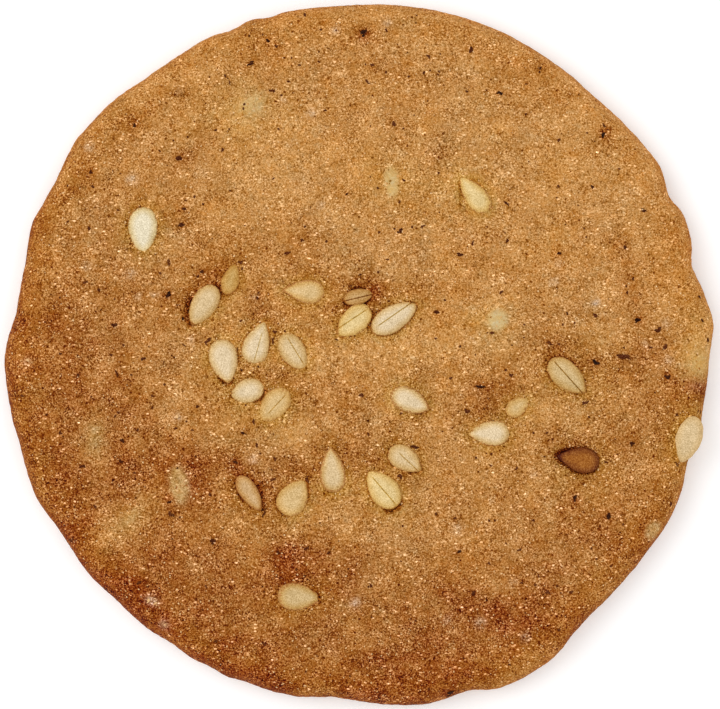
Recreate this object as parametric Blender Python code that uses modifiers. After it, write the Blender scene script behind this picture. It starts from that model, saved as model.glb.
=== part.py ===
"""Thin round sesame biscuit: a baked disc with an uneven rim, and sesame seeds fused into its top.

Metres, +Z up. The origin is on the flat underside, under the middle of the biscuit's box.
"""

import math
from typing import NamedTuple

import bmesh
import bpy
import numpy as np
from mathutils import Matrix, Vector, noise

MM = 0.001

# Driving dimensions of the crust
RADIUS = 25.75 * MM
CENTRE_THICKNESS = 4.1 * MM
SHOULDER_HEIGHT = 3.4 * MM
SHOULDER_WIDTH = 1.6 * MM
WIDEST_HEIGHT = 1.2 * MM
FOOT_WIDTH = 0.6 * MM

# Unevenness of the crust's top
SWELL_LENGTH = 9.0 * MM
SWELL_HEIGHT = 0.16 * MM
RIPPLE_LENGTH = 3.6 * MM
RIPPLE_HEIGHT = 0.06 * MM
SWELL_LAYER = 3.7
RIPPLE_LAYER = 8.1

# Fineness of the turned mesh
TURN_STEPS = 144
TOP_RINGS = 8
SHOULDER_STEPS = 4
FOOT_STEPS = 3
UNDERSIDE_RINGS = 2
MERGE_DISTANCE = 0.00001

# The outline: bearing in degrees from +X towards +Y, and millimetres out from RADIUS there
RIM_CORNERS = (
    (0, -0.10), (5, 0.36), (9, 0.0), (15, -0.60), (19, 0.01), (24, 0.14), (27, -0.36), (32, 0.26),
    (40, 0.03), (48, -0.20), (58, 0.0), (66, 0.10), (76, 0.12), (88, -0.02), (94, -0.13), (102, -0.02),
    (105, -0.14), (108, 0.10), (112, -0.18), (115, 0.05), (122, -0.14), (128, -0.12), (134, 0.23),
    (143, 0.35), (150, -0.05), (154, -0.02), (158, 0.21), (165, -0.34), (173, -0.36), (180, 0.34),
    (190, 0.20), (194, 0.05), (204, 0.24), (209, -0.20), (214, -0.28), (217, -0.12), (226, -0.38),
    (232, -0.30), (237, -0.50), (241, -0.28), (245, -0.36), (247, -0.15), (251, -0.36), (254, -0.19),
    (260, -0.24), (265, -0.56), (270, -0.34), (275, 0.05), (281, 0.38), (288, 0.12), (292, 0.78),
    (297, 0.86), (303, 0.65), (307, 0.08), (311, -0.24), (319, -0.27), (327, -0.17), (332, 0.02),
    (337, -0.10), (342, -0.50), (346, -0.02), (350, -0.29), (356, -0.17),
)
CORNER_SOFTNESS = 1.0
RIM_REACH_POWER = 3

# Seeds: a rounded base, a pointed tip, and a skirt that sinks below the crust
SEED_SIDES = 10
SEED_RINGS = 6
TIP_POWER = 0.72
BASE_POWER = 0.5
SEED_SUNK = 0.14 * MM

BISCUIT_COLOUR = (0.46, 0.20, 0.055, 1.0)
BISCUIT_ROUGHNESS = 0.75
SMOOTH_ANGLE = 35


class Seed(NamedTuple):
    """A seed on the crust, in millimetres and degrees.

    x and y are its middle, length and width the size that shows, tip the bearing of its pointed end,
    proud its height above the crust, and lean its turn about its own length.
    """

    x: float
    y: float
    length: float
    width: float
    tip: float
    proud: float
    lean: float = 0.0


SEEDS = (
    Seed(-15.88, 9.17, 3.23, 2.05, 270, 0.34),
    Seed(-11.37, 3.59, 3.30, 1.83, 236, 0.36),
    Seed(-9.61, 5.39, 2.13, 1.25, 73, 0.18),
    Seed(-9.97, -0.55, 3.23, 2.09, 280, 0.36),
    Seed(-7.59, 0.84, 3.15, 1.83, 74, 0.30),
    Seed(-4.91, 0.26, 2.86, 1.69, 301, 0.30),
    Seed(-8.21, -2.71, 2.57, 1.61, 188, 0.30),
    Seed(-6.23, -3.70, 2.86, 1.76, 227, 0.22),
    Seed(-4.11, 4.66, 3.15, 1.61, 175, 0.25),
    Seed(-0.04, 4.07, 1.98, 0.95, 10, 0.28),
    Seed(-0.40, 2.46, 3.01, 1.76, 220, 0.27),
    Seed(2.60, 2.68, 3.74, 1.76, 31, 0.38),
    Seed(3.74, -3.34, 3.08, 1.65, 330, 0.34),
    Seed(-2.02, -8.47, 3.01, 1.65, 92, 0.28),
    Seed(-4.91, -10.49, 2.71, 2.05, 62, 0.28),
    Seed(-8.21, -10.12, 2.93, 1.39, 302, 0.28),
    Seed(3.30, -7.66, 2.79, 1.69, 322, 0.27),
    Seed(1.83, -9.97, 3.37, 1.98, 128, 0.38),
    Seed(9.50, -5.79, 2.93, 1.69, 180, 0.34),
    Seed(11.55, -3.78, 1.83, 1.25, 30, 0.16),
    Seed(16.06, -7.81, 3.30, 1.83, 168, 0.36),
    Seed(15.22, -1.58, 3.37, 1.83, 314, 0.31),
    Seed(24.06, -6.20, 3.30, 1.83, 256, 0.36, -24),
    Seed(8.32, 11.77, 3.15, 1.47, 130, 0.28),
    Seed(-4.51, -17.75, 3.15, 1.76, 357, 0.20),
)

# Seeds that the crust covers, which show as low swellings
COVERED_SEEDS = (
    Seed(2.31, 12.54, 2.35, 1.17, 95, 0.08),
    Seed(10.01, 2.49, 1.60, 1.50, 70, 0.10),
    Seed(-19.18, -5.94, 2.05, 1.10, 80, 0.08),
    Seed(-13.16, -9.46, 2.93, 1.47, 282, 0.11),
    Seed(-16.76, -11.88, 2.05, 0.88, 45, 0.08),
    Seed(-7.81, 18.34, 2.20, 1.03, 35, 0.08),
)


def clear_scene():
    for obj in list(bpy.data.objects):
        bpy.data.objects.remove(obj, do_unlink=True)


def new_collection(name):
    collection = bpy.data.collections.new(name)
    bpy.context.scene.collection.children.link(collection)
    return collection


def smooth_step(value):
    value = min(max(value, 0.0), 1.0)
    return value * value * (3 - 2 * value)


def straight_rim(bearing):
    """How far the outline stands out from RADIUS at a bearing in degrees, straight from corner to corner."""
    bearings, offsets = zip(*RIM_CORNERS)
    return float(np.interp(bearing, bearings, offsets, period=360)) * MM


def rim_offset(bearing):
    """The same with its corners softened."""
    beside = straight_rim(bearing - CORNER_SOFTNESS) + straight_rim(bearing + CORNER_SOFTNESS)
    return (2 * straight_rim(bearing) + beside) / 4


def rim_stretch(radius, bearing):
    """The factor that carries a point of the round disc to the uneven one: 1 at the middle, full at the rim."""
    return 1 + rim_offset(bearing) / RADIUS * (radius / RADIUS) ** RIM_REACH_POWER


def relief(x, y):
    """The height of the top's swells and ripples at a place."""
    swell = noise.noise(Vector((x / SWELL_LENGTH, y / SWELL_LENGTH, SWELL_LAYER)))
    ripple = noise.noise(Vector((x / RIPPLE_LENGTH, y / RIPPLE_LENGTH, RIPPLE_LAYER)))
    return swell * SWELL_HEIGHT + ripple * RIPPLE_HEIGHT


def disc_height(radius):
    """The height of the round disc's top: a shallow dome that rounds over at the shoulder."""
    shoulder = RADIUS - SHOULDER_WIDTH
    if radius <= shoulder:
        return CENTRE_THICKNESS - (CENTRE_THICKNESS - SHOULDER_HEIGHT) * (radius / shoulder) ** 2
    across = min((radius - shoulder) / SHOULDER_WIDTH, 1.0)
    return WIDEST_HEIGHT + (SHOULDER_HEIGHT - WIDEST_HEIGHT) * math.sqrt(1 - across**2)


def crust_height(x, y):
    """The height of the finished crust's top at a place."""
    bearing = math.degrees(math.atan2(y, x))
    away = math.hypot(x, y)
    height = disc_height(away / rim_stretch(away, bearing))
    return height + relief(x, y) * relief_share(height)


def relief_share(height):
    """How much of the relief a point at this height takes: all on the top, none below the widest line."""
    return smooth_step((height - WIDEST_HEIGHT) / (SHOULDER_HEIGHT - WIDEST_HEIGHT))


def crust_profile():
    """Radius and height of the disc's section, from the middle of the top, over the rim, to under the middle."""
    shoulder = RADIUS - SHOULDER_WIDTH
    points = [(r, disc_height(r)) for r in np.linspace(0, shoulder, TOP_RINGS + 1)]
    for angle in np.linspace(90, 0, SHOULDER_STEPS + 1)[1:]:
        turn = math.radians(angle)
        rise = (SHOULDER_HEIGHT - WIDEST_HEIGHT) * math.sin(turn)
        points.append((shoulder + SHOULDER_WIDTH * math.cos(turn), WIDEST_HEIGHT + rise))
    for angle in np.linspace(0, 90, FOOT_STEPS + 1)[1:]:
        turn = math.radians(angle)
        reach = RADIUS - FOOT_WIDTH + FOOT_WIDTH * math.cos(turn)
        points.append((reach, WIDEST_HEIGHT * (1 - math.sin(turn))))
    foot = RADIUS - FOOT_WIDTH
    points += [(r, 0.0) for r in np.linspace(foot, 0, UNDERSIDE_RINGS + 1)[1:]]
    return points


def turned(name, profile, collection):
    """A closed object turned from a profile of (radius, height) points."""
    mesh = bpy.data.meshes.new(name)
    points = [(radius, 0, height) for radius, height in profile]
    mesh.from_pydata(points, [(i, i + 1) for i in range(len(points) - 1)], [])
    obj = bpy.data.objects.new(name, mesh)
    collection.objects.link(obj)
    screw = obj.modifiers.new("Turn", "SCREW")
    screw.axis = "Z"
    screw.steps = TURN_STEPS
    screw.render_steps = TURN_STEPS
    screw.use_merge_vertices = True
    screw.merge_threshold = MERGE_DISTANCE
    return obj


def apply_modifiers(obj):
    """Gives the object the mesh that its modifiers make, and takes them off."""
    graph = bpy.context.evaluated_depsgraph_get()
    mesh = bpy.data.meshes.new_from_object(obj.evaluated_get(graph))
    obj.modifiers.clear()
    obj.data = mesh


def make_crust(collection):
    """The baked disc with its uneven outline and its swells."""
    crust = turned("biscuit", crust_profile(), collection)
    apply_modifiers(crust)
    for vertex in crust.data.vertices:
        x, y, z = vertex.co
        stretch = rim_stretch(math.hypot(x, y), math.degrees(math.atan2(y, x)))
        x *= stretch
        y *= stretch
        vertex.co = (x, y, z + relief(x, y) * relief_share(z))
    return crust


def shape_seed(mesh, seed):
    """Turns a unit ball with its poles on X into the seed, still centred on the origin and pointing to +X."""
    half_height = seed.proud * MM + SEED_SUNK
    shows = math.sqrt(1 - (SEED_SUNK / half_height) ** 2)
    half_length = seed.length * MM / 2 / shows
    half_width = seed.width * MM / 2 / shows
    widest = (BASE_POWER - TIP_POWER) / (BASE_POWER + TIP_POWER)
    fullest = (1 - widest) ** TIP_POWER * (1 + widest) ** BASE_POWER
    for vertex in mesh.verts:
        along, across, up = vertex.co
        along = min(max(along, -1.0), 1.0)
        ball_girth = math.sqrt(1 - along**2)
        girth = (1 - along) ** TIP_POWER * (1 + along) ** BASE_POWER / fullest
        swell = girth / ball_girth if ball_girth > 0 else 0.0
        vertex.co = (along * half_length, across * swell * half_width, up * swell * half_height)


def make_seed(name, seed, collection):
    """One seed, lying on the crust with its lower part sunk in it."""
    mesh = bmesh.new()
    bmesh.ops.create_uvsphere(mesh, u_segments=SEED_SIDES, v_segments=SEED_RINGS, radius=1)
    bmesh.ops.rotate(mesh, verts=mesh.verts, matrix=Matrix.Rotation(math.radians(90), 3, "Y"))
    shape_seed(mesh, seed)
    data = bpy.data.meshes.new(name)
    mesh.to_mesh(data)
    mesh.free()
    obj = bpy.data.objects.new(name, data)
    collection.objects.link(obj)
    x, y = seed.x * MM, seed.y * MM
    obj.location = (x, y, crust_height(x, y) - SEED_SUNK)
    obj.rotation_euler = (math.radians(seed.lean), 0, math.radians(seed.tip))
    return obj


def fuse(obj, collection):
    """Joins every object of the collection to obj as one solid, and removes them."""
    union = obj.modifiers.new("Seeds", "BOOLEAN")
    union.operation = "UNION"
    union.operand_type = "COLLECTION"
    union.collection = collection
    union.solver = "EXACT"
    bpy.context.view_layer.update()
    apply_modifiers(obj)
    for other in list(collection.objects):
        bpy.data.objects.remove(other, do_unlink=True)
    bpy.data.collections.remove(collection)


def centre_on_origin(obj):
    """Moves the mesh so that the middle of its box is over the origin and its underside is at zero."""
    corners = np.array([vertex.co for vertex in obj.data.vertices])
    low, high = corners.min(axis=0), corners.max(axis=0)
    middle = (low + high) / 2
    obj.data.transform(Matrix.Translation((-middle[0], -middle[1], -low[2])))


def crust_material():
    material = bpy.data.materials.new("crust")
    material.use_nodes = True
    shader = material.node_tree.nodes["Principled BSDF"]
    shader.inputs["Base Color"].default_value = BISCUIT_COLOUR
    shader.inputs["Roughness"].default_value = BISCUIT_ROUGHNESS
    shader.inputs["Metallic"].default_value = 0.0
    return material


def main():
    clear_scene()
    parts = new_collection("sesame_biscuit")
    toppings = new_collection("seeds")
    biscuit = make_crust(parts)
    for number, seed in enumerate(SEEDS + COVERED_SEEDS):
        make_seed(f"seed_{number:02d}", seed, toppings)
    fuse(biscuit, toppings)
    centre_on_origin(biscuit)
    biscuit.data.materials.clear()
    biscuit.data.materials.append(crust_material())
    biscuit.data.shade_smooth()
    biscuit.data.set_sharp_from_angle(angle=math.radians(SMOOTH_ANGLE))


main()
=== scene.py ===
"""Looks of a thin round sesame biscuit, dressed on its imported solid.

Lengths are metres in the solid's frame, +Z up, with the biscuit lying flat on its underside. Places on the
crust are written in millimetres, from the middle of the biscuit's box, and bearings in degrees from +X
towards +Y.
"""

import logging
import math
from collections.abc import Iterable
from dataclasses import dataclass
from enum import Enum

import bpy
import numpy as np
from mathutils import Euler, Matrix, Vector, noise
from mathutils.bvhtree import BVHTree


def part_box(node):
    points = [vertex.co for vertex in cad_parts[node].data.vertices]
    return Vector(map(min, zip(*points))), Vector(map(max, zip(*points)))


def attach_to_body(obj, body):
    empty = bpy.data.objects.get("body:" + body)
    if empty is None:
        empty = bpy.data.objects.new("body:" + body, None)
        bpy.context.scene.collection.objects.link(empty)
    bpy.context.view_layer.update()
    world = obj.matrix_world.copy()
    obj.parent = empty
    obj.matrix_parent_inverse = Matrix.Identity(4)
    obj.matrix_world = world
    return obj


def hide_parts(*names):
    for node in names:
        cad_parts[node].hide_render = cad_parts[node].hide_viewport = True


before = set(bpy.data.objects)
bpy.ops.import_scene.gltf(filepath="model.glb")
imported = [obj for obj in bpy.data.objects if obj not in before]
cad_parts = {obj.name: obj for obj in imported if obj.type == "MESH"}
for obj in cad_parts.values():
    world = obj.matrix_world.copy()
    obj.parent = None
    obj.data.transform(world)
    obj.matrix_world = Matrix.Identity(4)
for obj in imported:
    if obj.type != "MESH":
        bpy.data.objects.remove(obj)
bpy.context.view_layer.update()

MM = 0.001
SOLID_NODE = "biscuit"
BODY = "root"
LOG = logging.getLogger("biscuit")
STUDIO_GAIN = 1.2
SCREEN_GAMMA = 2.2

Colour = tuple[float, float, float, float]

# The outline: bearing, and millimetres out from the nominal radius there
RIM_CORNERS = (
    (0, -0.10), (5, 0.36), (9, 0.0), (15, -0.60), (19, 0.01), (24, 0.14), (27, -0.36), (32, 0.26),
    (40, 0.03), (48, -0.20), (58, 0.0), (66, 0.10), (76, 0.12), (88, -0.02), (94, -0.13), (102, -0.02),
    (105, -0.14), (108, 0.10), (112, -0.18), (115, 0.05), (122, -0.14), (128, -0.12), (134, 0.23),
    (143, 0.35), (150, -0.05), (154, -0.02), (158, 0.21), (165, -0.34), (173, -0.36), (180, 0.34),
    (190, 0.20), (194, 0.05), (204, 0.24), (209, -0.20), (214, -0.28), (217, -0.12), (226, -0.38),
    (232, -0.30), (237, -0.50), (241, -0.28), (245, -0.36), (247, -0.15), (251, -0.36), (254, -0.19),
    (260, -0.24), (265, -0.56), (270, -0.34), (275, 0.05), (281, 0.38), (288, 0.12), (292, 0.78),
    (297, 0.86), (303, 0.65), (307, 0.08), (311, -0.24), (319, -0.27), (327, -0.17), (332, 0.02),
    (337, -0.10), (342, -0.50), (346, -0.02), (350, -0.29), (356, -0.17),
)


def looks(red: int, green: int, blue: int) -> Colour:
    """The surface colour that shows as these 0 to 255 screen values in the studio's light."""

    def linear(value: float) -> float:
        """One channel from 0 to 1, made linear."""
        return value / 12.92 if value <= 0.04045 else ((value + 0.055) / 1.055) ** 2.4

    return (*(linear(value / 255) / STUDIO_GAIN for value in (red, green, blue)), 1.0)


def smooth_step(value: np.ndarray, low: float, high: float) -> np.ndarray:
    """0 below low, 1 above high, and a soft ramp between; the other way round if low is the larger."""
    share = np.clip((value - low) / (high - low), 0, 1)
    return share * share * (3 - 2 * share)


class Coat(Enum):
    """The colour of a seed's coat."""

    IVORY = looks(238, 224, 192)
    CREAM = looks(232, 207, 167)
    BUFF = looks(223, 193, 145)
    WHEAT = looks(233, 203, 142)
    STRAW = looks(223, 188, 131)
    SANDY = looks(214, 182, 128)
    GOLDEN = looks(207, 166, 98)
    DUSTY = looks(202, 160, 103)
    RUDDY = looks(212, 172, 121)
    TOASTED = looks(161, 95, 26)


@dataclass(frozen=True)
class Seed:
    """A sesame seed on the crust.

    x and y are its middle, length and width the size that shows, tip the bearing of its pointed end,
    proud its height above the crust, lean its turn about its own length, and pitch how far its tip dips.
    crease holds the two ends of a crease along it, as x, y, x, y, and its strength, taper how finely the
    seed runs out to its tip, and dusted how much crumb lies on its margin.
    """

    x: float
    y: float
    length: float
    width: float
    tip: float
    proud: float
    coat: Coat = Coat.CREAM
    lean: float = 0.0
    pitch: float = 0.0
    crease: tuple[float, float, float, float, float] | None = None
    taper: float = 0.72
    dusted: float = 1.0


SEEDS = (
    Seed(-15.79, 9.07, 3.24, 2.08, 270, 0.34, Coat.IVORY, taper=0.70),
    Seed(-11.37, 3.60, 3.16, 1.84, 238, 0.36, Coat.BUFF, taper=0.66),
    Seed(-9.39, 5.47, 2.10, 1.15, 72, 0.18, Coat.GOLDEN, taper=0.65),
    Seed(-9.87, -0.48, 3.15, 2.05, 282, 0.36, Coat.CREAM, taper=0.75),
    Seed(-7.45, 0.91, 3.16, 1.89, 71, 0.30, Coat.CREAM, taper=0.95, crease=(-7.08, 1.72, -7.70, -0.57, 0.45)),
    Seed(-4.85, 0.22, 2.81, 1.80, 301, 0.30, Coat.BUFF, taper=0.62, crease=(-5.33, 1.34, -4.03, -0.78, 0.60)),
    Seed(-8.17, -2.65, 2.35, 1.68, 196, 0.30, Coat.CREAM, taper=0.60),
    Seed(-6.23, -3.69, 2.67, 1.82, 229, 0.22, Coat.STRAW, taper=0.65,
         crease=(-6.76, -4.38, -5.32, -2.85, 0.50)),
    Seed(-4.08, 4.60, 2.95, 1.66, 176, 0.25, Coat.STRAW, taper=0.95, pitch=-3, dusted=1.2),
    Seed(-0.14, 4.20, 2.05, 1.10, 14, 0.28, Coat.DUSTY, taper=0.62, crease=(-1.25, 3.86, 1.10, 4.42, 0.95)),
    Seed(-0.45, 2.41, 2.89, 1.82, 222, 0.27, Coat.WHEAT, taper=0.68, crease=(-1.70, 1.82, 0.59, 3.34, 0.65)),
    Seed(2.50, 2.68, 3.62, 1.86, 31, 0.38, Coat.CREAM, taper=0.68, crease=(1.19, 2.00, 3.85, 3.84, 0.90)),
    Seed(3.66, -3.36, 2.91, 1.74, 334, 0.34, Coat.CREAM, taper=0.72, dusted=1.2),
    Seed(-2.01, -8.38, 3.24, 1.80, 95, 0.28, Coat.BUFF, taper=0.86, pitch=-4, dusted=1.3),
    Seed(-4.79, -10.33, 2.81, 2.05, 56, 0.28, Coat.STRAW, taper=0.80),
    Seed(-8.01, -10.10, 2.85, 1.30, 303, 0.28, Coat.RUDDY, taper=0.72, dusted=1.25),
    Seed(3.32, -7.63, 2.67, 1.71, 326, 0.27, Coat.BUFF, taper=0.80, crease=(2.80, -7.09, 4.23, -8.47, 0.55)),
    Seed(1.66, -9.78, 3.20, 2.08, 130, 0.38, Coat.WHEAT, taper=0.72,
         crease=(0.77, -8.76, 2.71, -11.01, 0.70)),
    Seed(9.37, -5.73, 2.91, 1.78, 181, 0.34, Coat.CREAM, taper=0.84, dusted=1.1),
    Seed(11.49, -3.77, 1.80, 1.20, 35, 0.16, Coat.STRAW, taper=0.72, dusted=1.0),
    Seed(15.88, -7.64, 2.98, 1.78, 170, 0.36, Coat.TOASTED, taper=0.86),
    Seed(15.10, -1.59, 3.34, 1.90, 318, 0.31, Coat.SANDY, taper=0.70,
         crease=(14.03, -0.39, 16.32, -2.95, 1.00)),
    Seed(23.93, -6.16, 3.35, 1.92, 252, 0.36, Coat.BUFF, lean=-8, taper=0.62, dusted=0.6),
    Seed(8.26, 11.69, 3.14, 1.60, 128, 0.28, Coat.WHEAT, taper=0.88, dusted=1.1),
    Seed(-4.33, -17.65, 3.04, 1.86, 357, 0.20, Coat.SANDY, taper=0.90, pitch=3, dusted=1.15),
)


# Where a firm mark's edge ends and starts, as shares of its reach
FIRM_EDGE = (1.25, 0.6)


@dataclass(frozen=True)
class Mark:
    """A soft oval on the crust: its middle, its size, the bearing of its length, and its strength."""

    x: float
    y: float
    length: float
    width: float
    bearing: float = 0.0
    strength: float = 1.0

    def reach(self, x: np.ndarray, y: np.ndarray) -> np.ndarray:
        """How far out each place lies: 0 in the middle and 1 on the oval's edge."""
        turn = math.radians(self.bearing)
        along = (x / MM - self.x) * math.cos(turn) + (y / MM - self.y) * math.sin(turn)
        across = (y / MM - self.y) * math.cos(turn) - (x / MM - self.x) * math.sin(turn)
        return np.hypot(along / (self.length / 2), across / (self.width / 2))

    def soft(self, x: np.ndarray, y: np.ndarray) -> np.ndarray:
        """The mark fading out gently, at half its strength on the oval's edge."""
        return self.strength * np.exp2(-self.reach(x, y) ** 2)

    def firm(self, x: np.ndarray, y: np.ndarray) -> np.ndarray:
        """The mark at full strength to near its edge."""
        return self.strength * smooth_step(self.reach(x, y), *FIRM_EDGE)


def marks(*rows: tuple[float, ...]) -> tuple[Mark, ...]:
    """Marks from rows of x, y, length, width, bearing and strength."""
    return tuple(Mark(*row) for row in rows)


# Seeds that the crust covers: low swellings with the seed's pale colour showing through
COVERED_SEEDS = marks(
    (2.31, 12.54, 2.35, 1.17, 95, 0.80), (10.01, 2.49, 1.65, 1.55, 70, 0.85),
    (-19.18, -5.94, 2.05, 1.10, 80, 0.12), (-13.16, -9.46, 2.93, 1.47, 282, 0.56),
    (-16.76, -11.88, 2.05, 0.88, 45, 0.12), (-7.81, 18.24, 2.20, 1.30, 35, 0.25),
    (21.38, -12.83, 1.50, 1.20, 60, 0.40),
)
COVERED_HEIGHT = 0.09 * MM

# Pale yellow patches with soft edges
PALE_PATCHES = marks(
    (24.75, -0.70, 1.7, 1.6, 85, 0.72), (-7.80, 18.10, 2.6, 1.9, 35, 0.38),
    (-19.20, -6.00, 2.4, 1.4, 80, 0.15), (-16.80, -11.90, 3.0, 1.3, 45, 0.18),
)

# Where the crust baked browner, or where it stayed paler, with a strength below 0
BROWNED = marks(
    (-22.2, -1.1, 26.0, 9.1, 123, 0.64), (-21.1, -14.1, 29.6, 10.0, 146, 0.60),
    (-5.7, -25.8, 63.6, 13.9, 3, 0.66), (8.4, -19.6, 16.1, 9.5, 35, 0.40),
    (20.2, -14.0, 6.5, 7.0, 70, 0.54), (23.0, -4.5, 8.5, 10.1, 30, 0.47), (-12.5, -8.7, 3.9, 3.6, -1, 0.69),
    (-16.6, 4.9, 15.5, 8.1, 87, 0.20), (-23.7, 10.4, 14.7, 3.8, 41, 0.35),
    (15.7, 18.8, 16.5, 1.9, 155, 0.11), (-12.1, 14.8, 3.5, 1.4, 30, 0.40), (-10.7, 5.2, 5.4, 2.2, 37, 0.85),
    (0.0, 4.3, 3.3, 3.1, 0, 0.72), (14.8, -0.4, 4.7, 2.7, 130, 0.75), (15.6, -7.0, 5.0, 3.0, 175, 0.54),
    (9.6, -3.3, 5.3, 2.5, 31, 0.52), (-10.6, 0.9, 3.9, 1.2, -39, 0.24), (-6.9, -1.9, 6.3, 3.7, 179, 0.52),
    (-8.2, -9.5, 4.1, 2.0, 132, 0.96), (-4.9, -15.5, 4.1, 8.2, 84, 0.76), (-4.5, 7.4, 3.0, 5.7, 3, 0.40),
    (14.6, -19.2, 16.1, 2.9, -16, 0.35), (-18.7, -19.0, 4.9, 5.8, 0, 0.32), (3.4, -6.5, 7.4, 1.8, 73, 0.26),
    (-1.2, -7.7, 10.3, 3.4, -13, 0.52), (-6.5, 20.6, 2.4, 5.3, 7, 0.24), (0.4, 23.3, 2.0, 1.3, -2, 0.42),
    (5.9, 14.5, 1.4, 2.1, 6, 0.32), (18.0, 16.1, 1.6, 1.9, 0, 0.46), (3.9, 4.1, 2.5, 1.7, -2, 0.46),
    (15.6, -10.5, 7.4, 1.5, 74, 0.26), (-5.0, -9.5, 3.7, 2.7, 4, 0.88), (20.3, 0.0, 7.2, 2.1, 11, 0.25),
    (19.5, 5.5, 1.4, 6.1, 10, 0.25), (-7.2, 3.1, 1.8, 3.7, 8, 0.49), (1.1, 3.0, 32.3, 43.0, 1, 0.13),
    (9.5, 9.9, 70.1, 37.4, -5, 0.15), (-5.7, 13.7, 8.2, 8.5, 3, -0.24), (9.2, 2.8, 2.9, 1.3, 4, -0.40),
    (24.4, 0.0, 2.5, 1.9, 0, -0.51), (2.0, 0.2, 24.3, 2.7, 5, -0.27), (-1.5, -9.6, 9.3, 1.4, -2, -0.43),
    (-17.4, -12.8, 4.5, 2.7, 33, -0.50), (-4.9, -5.5, 3.0, 2.8, 1, -0.48),
    (-19.3, -6.2, 3.4, 1.7, 103, -0.45), (9.7, -16.8, 3.2, 2.1, -5, -0.40),
    (10.0, 11.0, 28.5, 14.0, 15, -0.18), (-8.3, -15.3, 2.6, 4.5, 8, -0.33),
    (15.4, -4.8, 3.1, 1.5, -3, -0.24), (21.6, -12.7, 1.2, 0.8, 0, -0.23),
    (10.1, -24.2, 9.0, 3.0, 30, -0.37), (-25.9, -4.8, 9.0, 2.0, 90, 0.33),
    (25.5, -4.4, 9.0, 4.5, 90, -0.31), (19.0, 17.2, 9.0, 3.0, 135, -0.27),
    (-2.3, -24.2, 9.0, 3.0, 120, -0.23), (17.1, -19.1, 9.0, 3.0, 60, -0.17),
    (-1.2, -9.5, 9.0, 2.0, 30, -0.17), (2.7, -11.7, 3.0, 2.0, 165, -0.27),
    (-12.1, -20.0, 4.5, 1.4, 120, -0.26), (-4.6, -14.1, 3.0, 1.4, 15, 0.25),
    (-1.9, 4.0, 9.0, 2.0, 120, 0.17), (19.2, -0.3, 4.5, 3.0, 150, -0.22), (4.4, 24.7, 9.0, 3.0, 0, -0.15),
    (17.9, -7.0, 9.0, 2.0, 135, -0.18), (25.0, 0.2, 3.4, 1.6, 88, -0.30), (24.7, -2.3, 2.2, 1.6, 0, 0.72),
    (1.2, 4.5, 1.6, 1.2, 0, 0.50), (-10.1, -6.6, 3.0, 2.0, 30, -0.22), (25.6, 3.7, 9.0, 2.0, 105, -0.15),
)

# Where it is yellower
YELLOWER = marks(
    (-8.6, 18.0, 6.0, 4.0, 20, 0.60), (1.9, 12.8, 3.5, 3.0, 90, 0.60), (5.8, 12.5, 5.0, 4.0, 0, 0.40),
    (9.8, 2.4, 3.0, 2.6, 0, 0.50), (0.0, 3.2, 5.0, 3.0, 0, 0.30), (-8.6, -3.4, 5.0, 3.0, 150, 0.30),
    (17.0, -1.3, 5.0, 4.0, 0, 0.40), (-13.2, -9.4, 3.0, 2.4, 100, 0.50), (-19.2, -6.0, 3.0, 2.0, 80, 0.60),
    (-16.7, -12.0, 3.6, 2.0, 40, 0.60), (24.6, 0.5, 8.0, 2.4, 92, 0.60), (15.5, -8.5, 6.0, 4.0, 0, 0.30),
)

# What the browned marks' sum is raised by, and then divided by
BROWN_FLOOR = 0.2
BROWN_SPAN = 1.4

# A gap is whole this many degrees within its ends, and has faded out this many beyond them
GAP_WHOLE = 6
GAP_FADED = 14


@dataclass(frozen=True)
class Gap:
    """A gap beside one seed, darkened with painted shade, from one bearing about the seed's middle to
    another.

    seed is the seed's number from 1, width how far the gap reaches from the seed, and strength the darkness
    of its painted shade.
    """

    seed: int
    start: float
    end: float
    width: float
    strength: float

    def share(self, bearing: np.ndarray) -> np.ndarray:
        """How much of the gap there is at each bearing, fading at its ends."""
        half = (self.end - self.start) / 2
        away = np.abs((bearing - self.start - half + 180) % 360 - 180)
        return smooth_step(away, half + GAP_FADED, half - GAP_WHOLE)


def gaps(*rows: tuple[float, ...]) -> tuple[Gap, ...]:
    """Gaps from rows of seed, start, end, width and strength."""
    return tuple(Gap(*row) for row in rows)


# The gaps beside the seeds: each a shallow groove in the crust, darkened with painted shade
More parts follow.
